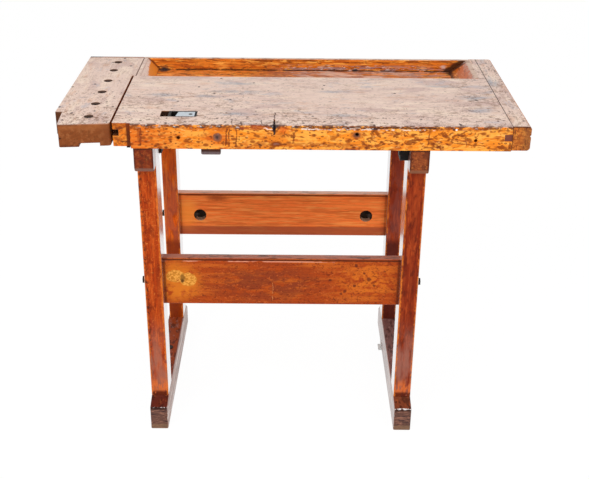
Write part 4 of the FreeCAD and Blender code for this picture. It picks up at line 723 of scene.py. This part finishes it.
def front_stretcher_marks(coat, face):
    """Dark drifts, an orange right end with specks, and a pale knot patch at the left."""
    coat.lay("#84361A", coat.both(coat.blob((-40, face, 400), (200, 30, 70), 0.7),
                                  coat.clouds((50, 20, 22), 0.4, 0.54, seed=2)), 0.85)
    coat.lay("#D8701E", coat.both(coat.blob((215, face, 410), (110, 30, 74), 0.8),
                                  coat.clouds((26, 20, 18), 0.42, 0.56, seed=5)), 0.8)
    flecks = coat.clouds((13, 12, 7), 0.55, 0.63, seed=7, detail=4, twist=1.5)
    coat.lay("#742A0E", flecks, 0.75)
    coat.lay("#C8622A", coat.clouds((9, 9, 5), 0.58, 0.66, seed=17, twist=1.0), 0.6)
    coat.lay("#54200E", coat.clouds((6, 9, 3), 0.6, 0.68, seed=10), 0.75)
    coat.lay("#D8781E", coat.both(coat.blob((-262, face, 402), (78, 30, 70), 0.6),
                                  coat.clouds((22, 20, 16), 0.32, 0.5, seed=43)), 0.85)
    patch = coat.both(coat.either(coat.blob((-262, face, 419), (26, 30, 19), 0.15),
                                  coat.blob((-232, face, 410), (23, 30, 20), 0.15)),
                      coat.clouds((11, 20, 9), 0.33, 0.38, seed=45))
    coat.lay("#ECA648", patch, 0.85)
    coat.lay("#B8701E", coat.both(patch, coat.clouds((7, 9, 5), 0.47, 0.55, seed=3)), 0.85)
    coat.lay("#8A5A1E", coat.blob((-246, face, 414), (8, 20, 14), 0.5), 0.9)
    coat.lay("#5E3A14", coat.blob((-246, face, 406), (5, 20, 6), 0.5), 0.9)
    coat.lay("#E89A5C", coat.stroke((-22, face, 405), (-22, face, 350), 1.1), 0.55)
    for x, z, size in ((217, 414, 7), (184, 452, 6), (182, 396, 5), (158, 380, 6),
                       (148, 372, 4), (230, 396, 4), (120, 410, 5), (205, 430, 4)):
        coat.lay("#5C2414", coat.blob((x, face, z), (size, 12, size)), 0.8)


def rear_stretcher_marks(coat, face):
    """Long flames of lighter and darker orange, and a dull lower edge."""
    coat.lay("#C85C26", coat.clouds((110, 20, 12), 0.5, 0.62, seed=3), 0.45)
    coat.lay("#FFA050", coat.clouds((120, 20, 9), 0.51, 0.63, seed=8), 0.8)
    coat.lay("#8E3A18", coat.blob((-185, face, 456), (50, 30, 12), 0.8), 0.7)
    coat.lay("#A24C2E", coat.both(coat.side("Y", -1), coat.band("Z", 371, 366)), 0.8)
    coat.lay("#FF9838", coat.blob((-272, face, 410), (44, 30, 60), 0.8), 0.7)


def yoke_timber(node):
    """The birch yoke under the vise: the stretchers' varnish, browner out of the light."""
    coat = Coat("varnished yoke birch", node, "#8E4A22")
    sawn(coat, "X", "#6A3014", "#B46A34", seed=12, ring=9, contrast=0.8)
    return coat.finish(0.45, gloss=0.1)


def rail_timber(node):
    """Birch stretchers in the legs' varnish, with a slow flame along the board."""
    if node == "vise_yoke":
        return yoke_timber(node)
    front = node == "front_stretcher"
    # The rear stretcher's bright orange is partly painted light, raised to make up for the shade
    # it gets under the top.
    coat = Coat("varnished stretcher birch", node, "#AC4410" if front else "#FF8038")
    sawn(coat, "X", "#83300E", "#E27A28" if front else "#FF9C4C", seed=12, ring=9,
         contrast=0.6 if front else 0.5)
    face = LOW[node].y
    if front:
        front_stretcher_marks(coat, face)
    else:
        rear_stretcher_marks(coat, face)
    facing = coat.side("Y", -1)
    arris = HIGH[node].z
    coat.lay("#3E180D", coat.both(facing, coat.strip("Z", arris - 4.5, 1.5, 1.5)), 0.8)
    if front:
        rubbed = coat.both(facing, coat.strip("Z", arris - 8.5, 0.8, 1.2),
                           coat.clouds((60, 9, 9), 0.46, 0.54, seed=51))
        coat.lay("#E8A084", rubbed, 0.75)
    for x in (-SHOULDER_X, SHOULDER_X):
        shade = coat.both(facing, coat.strip("X", x, 2, 4))
        coat.lay("#4A1C12", shade, 0.65 if front else 0.4)
    # Painted shade: the nut pockets are laid near black inside.
    holes = coat.both(coat.band("Y", face + 0.3, face + 1.2),
                      coat.either(*(coat.blob((x, face, POCKET_Z), (26, 60, 26), 0.1, crisp=True)
                                    for x in POCKETS_X)))
    coat.lay("#33291F", holes)
    top = coat.side("Z")
    coat.lay("#B0705A" if front else "#FFC8A4", top, 0.85)
    coat.lay("#4A2A1E", coat.both(top, coat.clouds((40, 9, 9), 0.52, 0.6, seed=4)),
             0.8 if front else 0.4)
    return coat.finish(0.4, gloss=0.1, glare=0.35)


# ---------------------------------------------------------------- metal
def rusty(coat, colour, seed=0.0):
    """Brown rust in soft patches and a pitted skin, its pits drawn wide enough to show."""
    coat.lay(colour, coat.clouds((9, 9, 9), 0.52, 0.72, seed, detail=4), 0.6)
    coat.press(coat.clouds((1.6, 1.6, 1.6), 0.4, 0.8, seed + 2), 0.05)


def black_iron(node):
    """Cast and forged iron: black and dull, with a little rust."""
    coat = Coat("blackened cast iron", node, "#3A302A" if "stretcher" in node else "#1D1B1B")
    rusty(coat, "#3A281F")
    return coat.finish(0.55, metallic=0.3)


def dark_steel(node):
    """Steel screws, bolts and nuts gone dark, with a faint shine left."""
    coat = Coat("dulled screw steel", node, "#35302C")
    rusty(coat, "#4A3226", seed=3)
    return coat.finish(0.5, metallic=0.6)


def bright_steel(node):
    """Turned steel kept bright by the vise's own movement."""
    coat = Coat("turned steel", node, "#8C8782")
    rusty(coat, "#6C5040", seed=5)
    return coat.finish(0.35, metallic=1.0)


def pale_steel(node):
    """Worn tool steel: bluish grey, half shiny."""
    coat = Coat("worn tool steel", node, "#E4E4E2" if node == "floor_clip" else "#C3CBD2")
    rusty(coat, "#8E9296", seed=7)
    return coat.finish(0.4, metallic=0.5)


FINISHES = {
    "maple_top": slab_timber, "maple_apron": apron_timber, "maple_edge": cap_timber,
    "maple_jaw": jaw_timber, "plug_wood": plug_timber, "tray_wood": tray_timber,
    "leg_wood": leg_timber, "foot_wood": foot_timber, "rail_wood": rail_timber,
    "black_iron": black_iron, "dark_steel": dark_steel, "bright_steel": bright_steel,
    "pale_steel": pale_steel,
}


def dress_nodes():
    """Give every CAD node the finish of its slot in the record."""
    for part in frame["record"]["subparts"]:
        mesh = NODES[part["node"]].data
        mesh.materials.clear()
        mesh.materials.append(FINISHES[part["material_slot"]](part["node"]))


# ---------------------------------------------------------------- studio, in metres
WORLD_LIGHT = 0.62  # how strongly the surround lights the bench, though it is seen at 1
FLOOR_GLOW = 0.95  # the share of the floor that is plain white to the eye; the rest takes shadow
FLOOR_SHINE = 1.02  # how bright that white is
FLOOR_SIZE, FLOOR_PLACE = 14, (0, 2, 0)
# Each lamp's name, place, width and power in watts
LAMPS = (
    ("key softbox", (-1.6, -2.6, 3.0), 1.8, 60),
    ("fill softbox", (2.2, -2.4, 2.2), 1.8, 30),
)
LAMPS_AIM = (0, 0, 0.5)
CAMERA_PLACE = (0.021, -2.4078, 1.6088)
CAMERA_ANGLES = (26.281, 0.265, 0.558)  # pitch down, yaw to the right and roll, in degrees
CAMERA_LENS, SENSOR_WIDTH = 61.61, 36.0  # in millimetres
FAR_CLIP = 50


def seen_white(tree):
    """1 for the rays that see the white surround: camera, glossy and transmission rays."""
    path = add(tree, "LightPath")
    seen = path.outputs["Is Camera Ray"]
    for ray in ("Is Glossy Ray", "Is Transmission Ray"):
        seen = add(tree, "Math", {0: seen, 1: path.outputs[ray]}, operation="MAXIMUM").outputs[0]
    return seen


def floor_white():
    """Floor white: nearly even to the eye, with the bench's shadow left on it."""
    material = bpy.data.materials.new("studio floor white")
    material.use_nodes = True
    tree = material.node_tree
    tree.nodes.clear()
    share = add(tree, "Math", {0: seen_white(tree), 1: FLOOR_GLOW}, operation="MULTIPLY")
    matt = add(tree, "BsdfDiffuse", {"Color": linear("#F4F4F4")})
    light = add(tree, "Emission", {"Color": (1, 1, 1, 1), "Strength": FLOOR_SHINE})
    mixed = add(tree, "MixShader", {0: share.outputs[0], 1: matt.outputs[0],
                                    2: light.outputs[0]})
    add(tree, "OutputMaterial", {0: mixed.outputs[0]})
    return material


def studio():
    """A white floor, an even white surround and two broad soft lamps."""
    bpy.ops.object.select_all(action="DESELECT")
    bpy.ops.mesh.primitive_plane_add(size=FLOOR_SIZE, location=FLOOR_PLACE)
    floor = bpy.context.object
    floor.name = "studio_floor"
    floor.data.materials.append(floor_white())

    world = bpy.data.worlds.new("studio surround")
    bpy.context.scene.world = world
    world.use_nodes = True
    tree = world.node_tree
    tree.nodes.clear()
    strength = add(tree, "MapRange", {"Value": seen_white(tree), 3: WORLD_LIGHT, 4: 1.0})
    surround = add(tree, "Background", {"Color": (1, 1, 1, 1), "Strength": strength.outputs[0]})
    add(tree, "OutputWorld", {0: surround.outputs[0]})

    for name, place, width, power in LAMPS:
        data = bpy.data.lights.new(name, "AREA")
        data.shape = "DISK"
        data.size = width
        data.energy = power
        lamp = bpy.data.objects.new(name, data)
        bpy.context.scene.collection.objects.link(lamp)
        lamp.location = place
        aim = Vector(LAMPS_AIM) - Vector(place)
        lamp.rotation_euler = aim.to_track_quat("-Z", "Y").to_euler()


def camera():
    """The camera in front of the bench, a little above it."""
    pitch, yaw, roll = (math.radians(angle) for angle in CAMERA_ANGLES)
    ahead = Vector((math.sin(yaw) * math.cos(pitch), math.cos(yaw) * math.cos(pitch),
                    -math.sin(pitch)))
    right = Vector((math.cos(yaw), -math.sin(yaw), 0))
    up = right.cross(ahead)
    tilted = right * math.cos(roll) + up * math.sin(roll)
    upright = up * math.cos(roll) - right * math.sin(roll)
    data = bpy.data.cameras.new("camera")
    data.sensor_width = SENSOR_WIDTH
    data.lens = CAMERA_LENS
    data.clip_end = FAR_CLIP
    view = bpy.data.objects.new("camera", data)
    bpy.context.scene.collection.objects.link(view)
    turn = Matrix((tilted, upright, -ahead)).transposed()
    view.matrix_world = Matrix.Translation(CAMERA_PLACE) @ turn.to_4x4()
    bpy.context.scene.camera = view


# ---------------------------------------------------------------- the scene
dress_nodes()
studio()
camera()
bpy.context.scene.view_settings.view_transform = "Standard"
